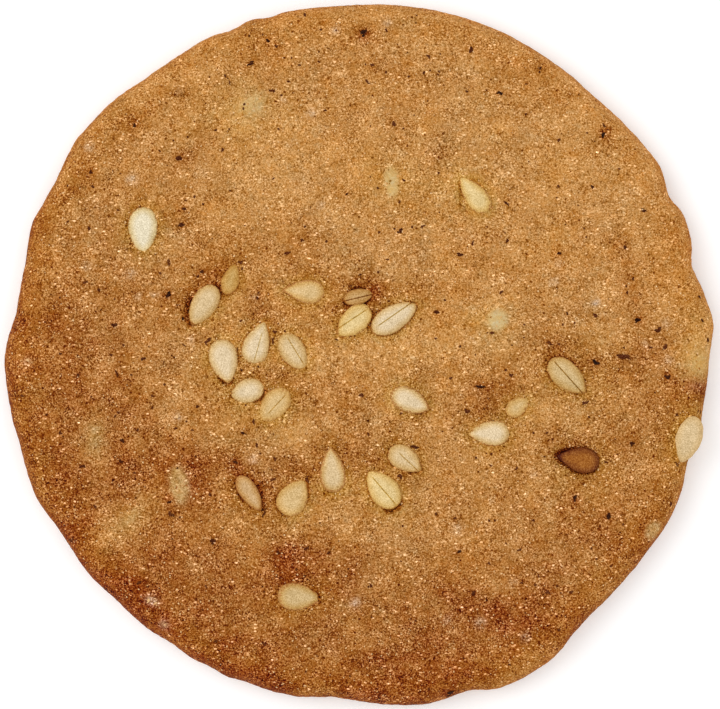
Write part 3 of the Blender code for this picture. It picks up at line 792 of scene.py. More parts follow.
@dataclass(frozen=True)
class CrustFinish(Finish):
    """The baked crust: sandy crumb, browned and paler patches, painted shade in gaps and halos by the seeds
    and at the edge, and a browner underside.
    """

    name: str = "crust"
    palest: Colour = looks(213, 155, 86)
    brownest: Colour = looks(142, 66, 8)
    deepened: Colour = (1.0, 0.90, 0.34, 1.0)
    deepening: float = 1.6
    oily: Colour = (1.0, 1.07, 0.86, 1.0)
    olive: Colour = (1.0, 1.10, 0.92, 1.0)
    covered_seed: Colour = looks(222, 187, 123)
    spot: Colour = looks(226, 192, 152)
    underside: Colour = looks(168, 106, 50)
    greyer: Colour = (0.99, 1.08, 1.28, 1.0)
    richer: Colour = (1.01, 0.93, 0.75, 1.0)
    rim_tint: Colour = (1.0, 0.94, 0.86, 1.0)
    baked_rim: Colour = (0.98, 1.0, 0.28, 1.0)
    golden: Colour = (0.99, 1.05, 0.90, 1.0)
    jitter_size: float = 0.28 * MM
    jitter: float = 0.35
    covered_jitter: float = 1.2
    spot_jitter: float = 1.5
    grain_size: float = 0.16 * MM
    contrast: float = 0.34
    browned_contrast: float = 0.58
    patch_contrast: float = 1.6
    patch_size: float = 1.1 * MM
    cloud_size: float = 2.4 * MM
    cloud_strength: float = 0.55
    hue_sizes: tuple[float, ...] = (5.0 * MM, 1.4 * MM, 0.35 * MM)
    glint_size: float = 0.20 * MM
    glint_share: float = 0.07
    glint_tone: float = 0.20
    browned_glint_tone: float = 0.42
    glint_turns: tuple[float, ...] = (0.7, -0.8)
    glint_stretch: float = 0.55
    pit_size: float = 0.32 * MM
    pit_share: float = 0.07
    pit_tone: float = -0.20
    pinhole_size: float = 1.3 * MM
    pinhole_share: float = 0.5
    halo_width: float = 0.8
    halo_shade: float = 0.10
    gap_shade_power: float = 0.95
    gap_spread: float = 0.02
    gap_whole: float = 1.35
    brink_shade_power: float = 0.12
    near_width: float = 2.2
    stain_browning: float = 0.35
    rim_browning: float = 0.16
    tone_spread: float = 0.13
    bump_strength: float = 0.8
    bump_height: float = 0.05 * MM
    roughness: float = 0.75
    gloss: float = 0.05

    def material(self, effects: Effects) -> bpy.types.Material:
        """Builds the material.

        Args:
            effects: The shared node groups.

        Returns:
            The finished material.
        """
        material, nodes, shader = self.start()
        place = nodes.place()
        grain = nodes.placed(effects.grain, {"Vector": place, "Size": self.grain_size})
        jitter = nodes.noise(place, 1 / self.jitter_size, roughness=0.6)
        beside = nodes.weigh((nodes.mask("beside"), 1.0), (jitter, self.jitter))
        # A halo round each seed: painted shade that darkens the crust there, and a yellower tint
        halo = nodes.fade(beside, self.halo_width)
        browning = self.browning(nodes, place, halo)
        colour = nodes.mix(browning, self.palest, self.brownest)
        deep = nodes.maths("POWER", browning, self.deepening)
        near = nodes.maths("MULTIPLY", nodes.fade(beside, self.near_width), browning)
        baked = nodes.maths("MULTIPLY", nodes.mask("rim"), deep)
        for share, tint in (
            (deep, self.deepened), (halo, self.oily), (near, self.olive), (nodes.mask("golden"), self.golden),
            (nodes.mask("rim"), self.rim_tint), (baked, self.baked_rim),
        ):
            colour = nodes.tinted(share, colour, tint)
        for mask, ragged, pale in (
            ("covered", self.covered_jitter, self.covered_seed), ("spot", self.spot_jitter, self.spot),
        ):
            share = nodes.maths("MULTIPLY", nodes.mask(mask), nodes.weigh((jitter, ragged), (1.0, 1.0)))
            colour = nodes.mix(nodes.clamped(share), colour, pale)
        colour = nodes.mix(nodes.mask("under"), colour, self.underside)
        for size in self.hue_sizes:
            inputs = {"Vector": place, "Size": size, "Colour": colour}
            inputs.update({"One": self.greyer, "Other": self.richer})
            colour = nodes.placed(effects.tint, inputs)["Colour"]
        tone = self.tone(nodes, effects, place, grain["Grain"], browning)
        colour = nodes.placed(effects.tone, {"Colour": colour, "Amount": tone})["Colour"]
        # Painted shade in the gaps beside the seeds
        width = nodes.maths("ADD", nodes.mask("gap_width"), self.gap_spread)
        line = nodes.maths("MULTIPLY", nodes.fade(beside, width, self.gap_whole), nodes.mask("gap"))
        colour = nodes.deepen(colour, line, self.gap_shade_power)
        # Painted shade along the very edge of the outline
        colour = nodes.deepen(colour, nodes.mask("brink_shade"), self.brink_shade_power)
        self.dress(nodes, shader, colour, grain["Height"])
        return material

    def browning(self, nodes: Nodes, place: object, halo: object) -> object:
        """How brown the crust is: its broad patches and cloudy mottling, with painted shade added in a halo
        round each seed.
        """
        broad = nodes.mask("browned")
        clouds = nodes.noise(place, 1 / self.cloud_size, detail=4.0, roughness=0.65)
        strength = nodes.weigh((broad, self.cloud_strength), (1.0, self.cloud_strength))
        clouds = nodes.maths("MULTIPLY", clouds, strength)
        edge = nodes.maths("MULTIPLY", nodes.mask("rim"), broad)
        parts = nodes.weigh(
            (broad, 1.0), (clouds, 1.0), (halo, self.halo_shade),
            (nodes.mask("stain"), self.stain_browning), (edge, self.rim_browning),
        )
        return nodes.clamped(parts)

    def tone(self, nodes: Nodes, effects: Effects, place: object, grain: object, browning: object) -> object:
        """How much lighter or darker the grain, the glints and the pits make each place."""
        patches = nodes.noise(place, 1 / self.patch_size)
        contrast = nodes.weigh((browning, self.browned_contrast - self.contrast), (1.0, self.contrast))
        contrast = nodes.maths("MULTIPLY", contrast, nodes.weigh((patches, self.patch_contrast), (1.0, 1.0)))
        calm = nodes.maths("SUBTRACT", 1.0, nodes.mask("covered"), clamp=True)
        contrast = nodes.maths("MULTIPLY", contrast, calm)
        shine = nodes.weigh((browning, self.browned_glint_tone - self.glint_tone), (1.0, self.glint_tone))
        shine = nodes.maths("MULTIPLY", shine, calm)
        glints = []
        for turn in self.glint_turns:
            turned = {"Vector": place, "Rotation": (0, 0, turn), "Scale": (self.glint_stretch, 1.0, 1.0)}
            along = nodes.add("ShaderNodeMapping", turned).outputs[0]
            glints.append((self.specks(nodes, effects, along, self.glint_size, self.glint_share), shine))
        pits = self.specks(nodes, effects, place, self.pit_size, self.pit_share)
        pinholes = self.specks(nodes, effects, place, self.pinhole_size, self.pinhole_share)
        pinholes = nodes.maths("MULTIPLY", pinholes, nodes.mask("under"))
        return nodes.weigh(
            (nodes.maths("MULTIPLY", grain, contrast), 1.0),
            *glints,
            (pits, self.pit_tone),
            (pinholes, self.pit_tone),
            (nodes.mask("tone"), self.tone_spread),
        )

    @staticmethod
    def specks(nodes: Nodes, effects: Effects, place: object, size: float, share: float) -> object:
        """The mask of specks scattered over the crust, each with this much room."""
        return nodes.placed(effects.specks, {"Vector": place, "Size": size, "Share": share})["Mask"]


@dataclass(frozen=True)
class SeedFinish(Finish):
    """A seed's smooth dull coat, faintly mottled, dusted with crumb at its margin, with painted shade in its
    crease and on its edge beside the gaps.
    """

    name: str = "sesame"
    margin: Colour = (0.89, 0.74, 0.44, 1.0)
    crumb: Colour = looks(186, 128, 66)
    dust_size: float = 0.16 * MM
    dust_jitter: float = 1.9
    dust_edge: tuple[float, float] = (0.90, 1.20)
    gap_shade_power: float = 1.05
    grain_size: float = 0.12 * MM
    contrast: float = 0.21
    crease_width: float = 0.045
    crease_whole: float = 1.3
    crease_shade_power: float = 1.7
    crease_tint: Colour = (0.88, 1.0, 0.70, 1.0)
    bump_strength: float = 0.6
    bump_height: float = 0.015 * MM
    roughness: float = 0.55
    gloss: float = 0.12

    def material(self, effects: Effects) -> bpy.types.Material:
        """Builds the material.

        Args:
            effects: The shared node groups.

        Returns:
            The finished material.
        """
        material, nodes, shader = self.start()
        place = nodes.place()
        grain = nodes.placed(effects.grain, {"Vector": place, "Size": self.grain_size})
        coat = nodes.add("ShaderNodeAttribute", attribute_name="coat").outputs["Color"]
        colour = nodes.tinted(nodes.mask("margin"), coat, self.margin)
        patches = nodes.noise(place, 1 / self.dust_size, detail=3.0, roughness=0.75)
        dust = nodes.weigh((nodes.mask("dust"), 1.0), (patches, self.dust_jitter))
        colour = nodes.mix(nodes.ramp(dust, *self.dust_edge), colour, self.crumb)
        amount = nodes.maths("MULTIPLY", grain["Grain"], self.contrast)
        colour = nodes.placed(effects.tone, {"Colour": colour, "Amount": amount})["Colour"]
        # The crease: painted shade in its shallow groove, with an olive tint
        away = nodes.maths("ABSOLUTE", nodes.mask("crease_away"))
        line = nodes.fade(away, self.crease_width, self.crease_whole)
        line = nodes.maths("MULTIPLY", line, nodes.mask("crease"))
        colour = nodes.tinted(line, nodes.deepen(colour, line, self.crease_shade_power), self.crease_tint)
        # Painted shade on the seed's own edge beside the gaps
        colour = nodes.deepen(colour, nodes.mask("shade"), self.gap_shade_power)
        self.dress(nodes, shader, colour, grain["Height"])
        return material


TOASTED_FINISH = SeedFinish(
    name="toasted sesame", margin=(0.52, 0.36, 0.3, 1.0), crumb=looks(120, 62, 24), contrast=0.24
)


@dataclass(frozen=True)
class BranFinish(Finish):
    """Dark flecks of bran: black in the heart of a dark one, and red-brown at the edge."""

    name: str = "bran"
    heart: Colour = looks(30, 9, 3)
    brown: Colour = looks(100, 45, 13)
    heart_edge: tuple[float, float] = (0.15, 0.75)
    grain_size: float = 0.1 * MM
    contrast: float = 0.2
    roughness: float = 0.7
    gloss: float = 0.05

    def material(self, effects: Effects) -> bpy.types.Material:
        """Builds the material.

        Args:
            effects: The shared node groups.

        Returns:
            The finished material.
        """
        material, nodes, shader = self.start()
        heart = nodes.ramp(nodes.mask("heart"), *self.heart_edge)
        dark = nodes.maths("MULTIPLY", nodes.mask("tone"), heart, clamp=True)
        colour = nodes.mix(dark, self.brown, self.heart)
        grain = nodes.placed(effects.grain, {"Vector": nodes.place(), "Size": self.grain_size})
        amount = nodes.maths("MULTIPLY", grain["Grain"], self.contrast)
        colour = nodes.placed(effects.tone, {"Colour": colour, "Amount": amount})["Colour"]
        self.dress(nodes, shader, colour)
        return material


@dataclass(frozen=True)
class SugarFinish(Finish):
    """Pale grains of sugar, some stained by the crust."""

    name: str = "sugar"
    clear: Colour = looks(250, 208, 150)
    stained: Colour = looks(226, 168, 100)
    roughness: float = 0.4
    gloss: float = 0.3

    def material(self) -> bpy.types.Material:
        """Builds the material."""
        material, nodes, shader = self.start()
        self.dress(nodes, shader, nodes.mix(nodes.mask("tone"), self.stained, self.clear))
        return material


@dataclass
class Crust:
    """The baked disc: a turned form with an uneven outline, low swells and sandy relief."""

    radius: float = 25.75 * MM
    centre_thickness: float = 4.1 * MM
    shoulder_height: float = 3.4 * MM
    shoulder_width: float = 1.6 * MM
    widest_height: float = 1.2 * MM
    foot_width: float = 0.6 * MM
    swell_length: float = 9.0 * MM
    swell_height: float = 0.16 * MM
    ripple_length: float = 3.6 * MM
    ripple_height: float = 0.06 * MM
    swell_layer: float = 3.7
    ripple_layer: float = 8.1
    corner_softness: float = 1.0
    rim_reach_power: int = 3
    top_cells: int = 232
    under_cells: int = 116
    shoulder_steps: int = 14
    foot_steps: int = 7
    crumb_size: float = 1.3 * MM
    crumb_depth: float = 0.12 * MM
    sand_size: float = 0.45 * MM
    sand_depth: float = 0.08 * MM
    under_share: float = 0.3
    under_from: float = 0.8
    slack: float = 1.0001
    gap_lip: tuple[float, float] = (0.15, -0.05)
    rim_band: tuple[float, float] = (0.84, 0.99)
    # Where the painted shade along the very edge starts and is whole, as shares of the radius
    brink_band: tuple[float, float] = (0.980, 0.995)

    def build(self, effects: Effects) -> bpy.types.Object:
        """Models and dresses the crust.

        Args:
            effects: The shared node groups.

        Returns:
            The crust, in place.
        """
        crust = self.sheet("crust", self.top_cells, self.shoulder_height)
        self.draw_wall(crust)
        under = self.sheet("underside", self.under_cells, 0.0)
        crust = self.close(crust, under)
        self.shape(crust)
        self.roughen(crust)
        smooth(crust)
        crust.data.materials.append(CrustFinish().material(effects))
        return crust

    @property
    def shoulder_radius(self) -> float:
        """Where the top starts to round over."""
        return self.radius - self.shoulder_width

    def sheet(self, name: str, cells: int, height: float) -> bpy.types.Object:
        """A round sheet of even quads: a square grid whose square rings are drawn into round ones.

        Args:
            name: The object's name.
            cells: Quads along each side of the square.
            height: The height that it lies at.

        Returns:
            The new sheet.
        """
        deselect()
        bpy.ops.mesh.primitive_grid_add(x_subdivisions=cells, y_subdivisions=cells, size=2)
        obj = bpy.context.object
        obj.name = name
        points = read_points(obj)
        a, b = points[:, 0], points[:, 1]
        ring = np.maximum(np.abs(a), np.abs(b))
        sideways = np.abs(a) > np.abs(b)
        with np.errstate(divide="ignore", invalid="ignore"):
            turn = np.where(sideways, math.pi / 4 * b / a, math.pi / 2 - math.pi / 4 * a / b)
        turn = np.where(ring < 1e-9, 0, np.nan_to_num(turn))
        signed = np.where(sideways, a, b) * self.shoulder_radius
        level = np.full(len(a), height)
        write_points(obj, np.column_stack([signed * np.cos(turn), signed * np.sin(turn), level]))
        return obj

    def wall_profile(self) -> list[tuple[float, float]]:
        """Radius and height of each ring of the side, from the shoulder down to under the foot."""
        rings = []
        for turn in np.linspace(math.pi / 2, 0, self.shoulder_steps + 1)[1:]:
            rise = (self.shoulder_height - self.widest_height) * math.sin(turn)
            reach = self.shoulder_radius + self.shoulder_width * math.cos(turn)
            rings.append((reach, self.widest_height + rise))
        for turn in np.linspace(0, math.pi / 2, self.foot_steps + 1)[1:]:
            reach = self.radius - self.foot_width * (1 - math.cos(turn))
            rings.append((reach, self.widest_height * (1 - math.sin(turn))))
        return rings

    def draw_wall(self, crust: bpy.types.Object) -> None:
        """Extrudes the sheet's edge down the side, ring by ring."""
        make_active(crust)
        bpy.ops.object.mode_set(mode="EDIT")
        self.select_open_edges()
        radius, height = self.shoulder_radius, self.shoulder_height
        for next_radius, next_height in self.wall_profile():
            drop = {"value": (0, 0, next_height - height)}
            bpy.ops.mesh.extrude_region_move(TRANSFORM_OT_translate=drop)
            scale = next_radius / radius
            bpy.ops.transform.resize(value=(scale, scale, 1), center_override=(0, 0, next_height))
            radius, height = next_radius, next_height
        bpy.ops.object.mode_set(mode="OBJECT")

    @staticmethod
    def select_open_edges() -> None:
        """Selects the edges that only one face has."""
        bpy.ops.mesh.select_mode(type="EDGE")
        bpy.ops.mesh.select_all(action="DESELECT")
        bpy.ops.mesh.select_non_manifold(
            extend=False, use_wire=False, use_boundary=True, use_multi_face=False,
            use_non_contiguous=False, use_verts=False,
        )

    def close(self, crust: bpy.types.Object, under: bpy.types.Object) -> bpy.types.Object:
        """Joins the underside on, bridges the two edges, and turns every face outwards."""
        crust = join([crust, under], "crust")
        bpy.ops.object.mode_set(mode="EDIT")
        self.select_open_edges()
        bpy.ops.mesh.bridge_edge_loops()
        bpy.ops.mesh.select_all(action="SELECT")
        bpy.ops.mesh.normals_make_consistent(inside=False)
        bpy.ops.object.mode_set(mode="OBJECT")
        return crust

    def rim_offset(self, bearing: np.ndarray) -> np.ndarray:
        """How far the outline stands out from the nominal radius at each bearing."""
        bearings, offsets = np.array(RIM_CORNERS).T

        def straight(at: np.ndarray) -> np.ndarray:
            """The outline straight from corner to corner."""
            return np.interp(at, bearings, offsets, period=360) * MM

        beside = straight(bearing - self.corner_softness) + straight(bearing + self.corner_softness)
        return (2 * straight(bearing) + beside) / 4

    def stretch(self, x: np.ndarray, y: np.ndarray) -> np.ndarray:
        """The factor that carries a point of the round disc to the uneven one."""
        offset = self.rim_offset(np.degrees(np.arctan2(y, x)))
        return 1 + offset / self.radius * (np.hypot(x, y) / self.radius) ** self.rim_reach_power

    def relief(self, x: np.ndarray, y: np.ndarray) -> np.ndarray:
        """The height of the swells and the ripples at each place."""
        places = np.column_stack([x, y])
        swell = [noise.noise((px, py, self.swell_layer)) for px, py in places / self.swell_length]
        ripple = [noise.noise((px, py, self.ripple_layer)) for px, py in places / self.ripple_length]
        return np.array(swell) * self.swell_height + np.array(ripple) * self.ripple_height

    def disc_height(self, radius: np.ndarray) -> np.ndarray:
        """The height of the round disc's top at each radius."""
        drop = self.centre_thickness - self.shoulder_height
        dome = self.centre_thickness - drop * (radius / self.shoulder_radius) ** 2
        across = np.clip((radius - self.shoulder_radius) / self.shoulder_width, 0, 1)
        rounded = self.widest_height + (self.shoulder_height - self.widest_height) * np.sqrt(1 - across**2)
        return np.where(radius <= self.shoulder_radius, dome, rounded)

    def relief_share(self, height: np.ndarray) -> np.ndarray:
        """How much of the relief a point at each height takes."""
        return smooth_step(height, self.widest_height, self.shoulder_height)

    def height_at(self, x: float, y: float) -> float:
        """The height of the crust's top at one place, without its fine relief."""
        px, py = np.array([x]), np.array([y])
        height = self.disc_height(np.hypot(px, py) / self.stretch(px, py))
        return float((height + self.relief(px, py) * self.relief_share(height))[0])

    def shape(self, crust: bpy.types.Object) -> None:
        """Gives the disc its dome, its outline, its relief and the masks that its material reads."""
        points = read_points(crust)
        x, y, z = points.T
        away = np.hypot(x, y)
        on_top = (away <= self.shoulder_radius * self.slack) & (z > self.widest_height)
        z = np.where(on_top, self.disc_height(np.minimum(away, self.shoulder_radius)), z)
        grow = self.stretch(x, y)
        x, y = x * grow, y * grow
        share = self.relief_share(z)
        under = smooth_step(z, self.widest_height * self.under_from, 0.0)
        masks = self.masks(x, y)
        swelling = sum(mark.firm(x, y) / mark.strength for mark in COVERED_SEEDS)
        open_gap = masks["gap"] * smooth_step(masks["beside"] - masks["gap_width"], *self.gap_lip)
        z = z + share * (self.relief(x, y) + COVERED_HEIGHT * swelling - GAP_DEPTH * open_gap)
        write_points(crust, np.column_stack([x, y, z]))
        for name, values in masks.items():
            store(crust, name, values if name in ("beside", "gap_width") else values * (1 - under))
        store(crust, "under", under)

    def masks(self, x: np.ndarray, y: np.ndarray) -> dict[str, np.ndarray]:
        """What the crust's material reads at each place on top.

        Args:
            x: The places' x in metres.
            y: The places' y in metres.

        Returns:
            The masks by name. browned and golden are from 0 to 1; beside is how many millimetres away the
            nearest seed is, and gap and gap_width the darkness of the painted shade in the gap beside it and
            the gap's width.
        """

        def soft(spots: Iterable[Mark]) -> np.ndarray:
            """The sum of soft marks at each place."""
            return sum(mark.soft(x, y) for mark in spots)

        beside, gap, gap_width = self.gaps(x, y)
        radius = np.hypot(x, y) / self.stretch(x, y)
        return {
            "browned": (soft(BROWNED) + BROWN_FLOOR) / BROWN_SPAN,
            "golden": np.clip(soft(YELLOWER), 0, 1),
            "covered": sum(mark.firm(x, y) for mark in COVERED_SEEDS) + soft(PALE_PATCHES),
            "rim": smooth_step(radius, *(share * self.radius for share in self.rim_band)),
            "brink_shade": smooth_step(radius, *(share * self.radius for share in self.brink_band)),
            "spot": np.clip(soft(SPOTS), 0, 1),
            "stain": np.clip(soft(self.stains()), 0, 1),
            "beside": beside,
            "gap": gap,
            "gap_width": gap_width,
        }

    @staticmethod
    def stains() -> list[Mark]:
        """A brown stain around each dark fleck."""
        short = [Mark(x, y, STAIN_REACH * size, STAIN_REACH * size, 0, dark) for x, y, size, dark in FLECKS]
        long = [
            Mark(x, y, STAIN_REACH * length, STAIN_REACH * width, bearing, dark)
            for x, y, length, width, bearing, dark in SLIVERS
        ]
        return short + long

    @staticmethod
    def gaps(x: np.ndarray, y: np.ndarray) -> tuple[np.ndarray, np.ndarray, np.ndarray]:
        """The distance from the nearest seed, and the darkness of the painted shade in the gap beside it and
        the gap's width.
        """
        beside = np.full(len(x), FAR_AWAY)
        gap = np.zeros(len(x))
        width = np.full(len(x), NARROWEST_GAP)
        for number, seed in enumerate(SEEDS, 1):
            away, bearing = Teardrop.beyond(seed, x, y)
            nearest = away < beside
            beside = np.where(nearest, away, beside)
            own_gap = np.zeros(len(x))
            own_width = np.full(len(x), NARROWEST_GAP)
            for opening in (opening for opening in GAPS if opening.seed == number):
                share = opening.share(bearing)
                own_gap = np.maximum(own_gap, share * opening.strength)
                own_width = np.maximum(own_width, share * opening.width)
            gap = np.where(nearest, own_gap, gap)
            width = np.where(nearest, own_width, width)
        return beside, gap, width

    def roughen(self, crust: bpy.types.Object) -> None:
        """Displaces the surface into crumb and sand, less on the underside."""
        under = np.empty(len(crust.data.vertices), np.float32)
        crust.data.attributes["under"].data.foreach_get("value", under)
        group = crust.vertex_groups.new(name="crumbly")
        for number, share in enumerate(1 - under * (1 - self.under_share)):
            group.add([number], float(share), "REPLACE")
        for name, size, detail, depth in (
            ("crumb", self.crumb_size, 3, self.crumb_depth), ("sand", self.sand_size, 2, self.sand_depth),
        ):
            texture = bpy.data.textures.new(name, "CLOUDS")
            texture.noise_scale = size
            texture.noise_depth = detail
            relief = crust.modifiers.new(name, "DISPLACE")
            relief.texture = texture
            relief.strength = depth
            relief.vertex_group = "crumbly"
        apply_modifiers(crust)
        crust.vertex_groups.clear()


@dataclass
class SeedBed:
    """The sesame seeds: a rounded base, a pointed tip, a flattened section, and a crease on some."""

    crust: Crust
    sides: int = 80
    rings: int = 44
    flatness: float = 0.72
    sunk: float = 0.14 * MM
    crease_reach: float = 0.08 * MM
    crease_depth: float = 0.025 * MM
    lump_size: float = 1.1 * MM
    lump_height: float = 0.035 * MM
    bump_size: float = 0.45 * MM
    bump_height: float = 0.035 * MM
    noise_seed: int = 14
    margin_width: float = 0.6
    most_tinted: float = 1.2
    crease_from: float = -0.2
    crease_band: tuple[float, float] = (0.5, 0.36)
    shade_rise: float = 0.35

    def build(self, effects: Effects) -> list[bpy.types.Object]:
        """Models and dresses every seed.

        Args:
            effects: The shared node groups.

        Returns:
            The pale seeds as one piece, and the toasted one.
        """
        # Without this, the lumps and bumps would follow the clock
        noise.seed_set(self.noise_seed)
        ball = self.ball()
        kinds = {"sesame_seeds": [], "toasted_seed": []}
        for number, seed in enumerate(SEEDS, 1):
            kind = "toasted_seed" if seed.coat is Coat.TOASTED else "sesame_seeds"
            kinds[kind].append(self.place(ball, seed, number))
        bpy.data.objects.remove(ball)
        pieces = [join(seeds, name) for name, seeds in kinds.items()]
        for piece in pieces:
            smooth(piece)
        pale, toasted = pieces
        pale.data.materials.append(SeedFinish().material(effects))
        toasted.data.materials.append(TOASTED_FINISH.material(effects))
        return pieces

    def ball(self) -> bpy.types.Object:
        """A unit ball with its poles on X, from which each seed is shaped."""
        deselect()
        bpy.ops.mesh.primitive_uv_sphere_add(segments=self.sides, ring_count=self.rings, radius=1)
        ball = bpy.context.object
        ball.data.transform(Matrix.Rotation(math.radians(90), 4, "Y"))
        return ball

    def place(self, ball: bpy.types.Object, seed: Seed, number: int) -> bpy.types.Object:
        """Shapes a copy of the ball into one seed, in its place on the crust.

        Args:
            ball: The unit ball.
            seed: The seed to make.
            number: The seed's number from 1.

        Returns:
            The seed.
        """
        obj = ball.copy()
        obj.data = ball.data.copy()
        bpy.context.collection.objects.link(obj)
        points = self.form(read_points(ball), seed)
        turn = Euler((math.radians(seed.lean), math.radians(seed.pitch), math.radians(seed.tip)))
        points = points @ np.array(turn.to_matrix()).T
        base = self.crust.height_at(seed.x * MM, seed.y * MM)
        points += (seed.x * MM, seed.y * MM, base - self.sunk)
        rise = (points[:, 2] - base) / (seed.proud * MM)
        away = np.full(len(points), FAR_AWAY)
        along = np.zeros(len(points))
        if seed.crease:
            away, along = self.crease_cover(points, seed)
            along = along * (rise > self.crease_from)
            points[:, 2] -= self.crease_depth * along * np.exp2(-((away * MM / self.crease_reach) ** 2))
            along = along * seed.crease[4]
        write_points(obj, points)
        store_colour(obj, "coat", seed.coat.value)
        store(obj, "crease_away", away)
        store(obj, "crease", along)
        beyond, bearing = Teardrop.beyond(seed, points[:, 0], points[:, 1])
        margin = np.clip(1 + beyond / self.margin_width, 0, 1)
        store(obj, "margin", margin * min(seed.dusted, self.most_tinted))
        store(obj, "dust", margin * seed.dusted)
        store(obj, "shade", self.shade(bearing, number) * smooth_step(rise, self.shade_rise, 0.0))
        return obj

    def form(self, unit: np.ndarray, seed: Seed) -> np.ndarray:
        """The seed's points about its own middle, pointing to +X.

        Args:
            unit: The unit ball's points.
            seed: The seed to make.

        Returns:
            The shaped points.
        """
        half_height = seed.proud * MM + self.sunk
        shows = math.sqrt(1 - (self.sunk / half_height) ** 2)
        along = np.clip(unit[:, 0], -1, 1)
        round_girth = np.sqrt(np.maximum(1 - along**2, 1e-12))
        across = unit[:, 1] / round_girth
        up = unit[:, 2] / round_girth
        girth = Teardrop.girth(along, seed.taper)
        across = np.sign(across) * np.abs(across) ** self.flatness * girth
        up = np.sign(up) * np.abs(up) ** self.flatness * girth**self.flatness
        size = np.array([seed.length * MM / 2 / shows, seed.width * MM / 2 / shows, half_height])
        points = np.column_stack([along, across, up]) * size
        offset = Vector((seed.x, seed.y, seed.tip))
        lumps = np.array([noise.noise_vector(Vector(p) / self.lump_size + offset) for p in points])
        bumps = np.array([noise.noise_vector(Vector(p) / self.bump_size - offset) for p in points])
        return points + lumps * self.lump_height + bumps * self.bump_height

    def crease_cover(self, points: np.ndarray, seed: Seed) -> tuple[np.ndarray, np.ndarray]:
        """How far each point lies to one side of the seed's crease, in millimetres, and its share there."""
        start = np.array(seed.crease[:2]) * MM
        run = np.array(seed.crease[2:4]) * MM - start
        x, y = (points[:, :2] - start).T
        share = (x * run[0] + y * run[1]) / (run @ run)
        away = (y * run[0] - x * run[1]) / np.linalg.norm(run) / MM
        return away, smooth_step(np.abs(share - 0.5), *self.crease_band)

    @staticmethod
    def shade(bearing: np.ndarray, number: int) -> np.ndarray:
        """How dark the painted shade of the gaps beside a seed makes its own edge at each bearing."""
        shares = [opening.share(bearing) * opening.strength for opening in GAPS if opening.seed == number]
        return np.max([np.zeros(len(bearing)), *shares], axis=0) * EDGE_SHADE


@dataclass
class Strewn:
    """Small things strewn over the crust, all of one kind joined in one mesh.

    clear is how many millimetres they keep from any seed, reach the share of the radius that they cover,
    overhead the height that they are dropped from, sunk how far each is sunk, as a share of its half height,
    and jitter how uneven each is, as a share of its size.
    """

    crust: Crust
    ground: BVHTree
    seed: int
    clear: float = 0.10
    reach: float = 0.985
    overhead: float = 0.02
    sunk: float = 0.0
    jitter: float = 0.5

    def __post_init__(self) -> None:
        """Starts the random draws."""
        self.draw = np.random.default_rng(self.seed)

    def places(self, count: int, browned_only: float = 0.0) -> np.ndarray:
        """Random places on the top, clear of the seeds by the class's own number of millimetres.

        Args:
            count: How many places.
            browned_only: How strongly the browned patches are favoured, from 0 to 1.

        Returns:
            Rows of x and y in metres.
        """
        found = np.empty((0, 2))
        while len(found) < count:
            radius = self.crust.radius * self.reach * np.sqrt(self.draw.random(count))
            bearing = self.draw.random(count) * 2 * math.pi
            x, y = radius * np.cos(bearing), radius * np.sin(bearing)
            grow = self.crust.stretch(x, y)
            x, y = x * grow, y * grow
            masks = self.crust.masks(x, y)
            wanted = 1 - browned_only + browned_only * np.clip(masks["browned"], 0, 1)
            keep = (masks["beside"] > self.clear) & (self.draw.random(count) < wanted)
            found = np.vstack([found, np.column_stack([x, y])[keep]])
        return found[:count]

    def lay(
        self, name: str, template: bpy.types.Object, places: np.ndarray, sizes: np.ndarray,
        bearings: np.ndarray, tones: np.ndarray,
    ) -> bpy.types.Object:
        """Lays an uneven copy of the template at each place, flat on the crust, and joins the copies.

        Args:
            name: The piece's name.
            template: What is copied, about one unit in radius.
            places: Rows of x and y.
            sizes: Rows of half length, half width and half height.
            bearings: The bearing of each copy's length, in degrees.
            tones: One number that each copy keeps for the material.

        Returns:
            The joined piece.
        """
        unit = read_points(template)
        faces = [list(face.vertices) for face in template.data.polygons]
        bpy.data.objects.remove(template)
        down = Vector((0, 0, -1))
        hits = [self.ground.ray_cast(Vector((x, y, self.overhead)), down) for x, y in places]
        landed = [number for number, hit in enumerate(hits) if hit[0]]
        places, sizes, bearings, tones = places[landed], sizes[landed], bearings[landed], tones[landed]
        spots = np.array([hits[number][0] for number in landed])
        normals = np.array([hits[number][1] for number in landed])
        count, corners = len(places), len(unit)
        turns = np.radians(bearings)
        along = np.column_stack([np.cos(turns), np.sin(turns), np.zeros(count)])
        along -= normals * (along * normals).sum(axis=1)[:, None]
        along /= np.linalg.norm(along, axis=1)[:, None]
        across = np.cross(normals, along)
        uneven = 1 + self.jitter * (self.draw.random((count, corners, 1)) - 0.5)
        local = unit[None] * uneven * sizes[:, None, :]
        local[:, :, 2] -= sizes[:, 2, None] * self.sunk
        points = spots[:, None, :] + sum(
            local[:, :, k, None] * axis[:, None, :] for k, axis in enumerate((along, across, normals))
        )
        links = [[v + number * corners for v in face] for number in range(count) for face in faces]
        mesh = bpy.data.meshes.new(name)
        mesh.from_pydata(points.reshape(-1, 3).tolist(), [], links)
        obj = bpy.data.objects.new(name, mesh)
        bpy.context.collection.objects.link(obj)
        store(obj, "tone", np.repeat(tones, corners))
        store(obj, "heart", np.tile(np.clip(unit[:, 2], 0, 1), count))
        for mask, values in self.crust.masks(*places.T).items():
            if mask in ("browned", "golden", "rim"):
                store(obj, mask, np.repeat(values, corners))
        store(obj, "beside", np.full(count * corners, FAR_AWAY))
        return obj

    @staticmethod
    def pebble() -> bpy.types.Object:
        """A unit ball of 20 faces."""
        deselect()
        bpy.ops.mesh.primitive_ico_sphere_add(subdivisions=1, radius=1)
        return bpy.context.object

    @staticmethod
    def flake() -> bpy.types.Object:
        """A unit ball of 48 faces, with its poles up and down."""
        deselect()
        bpy.ops.mesh.primitive_uv_sphere_add(segments=8, ring_count=6, radius=1)
        return bpy.context.object


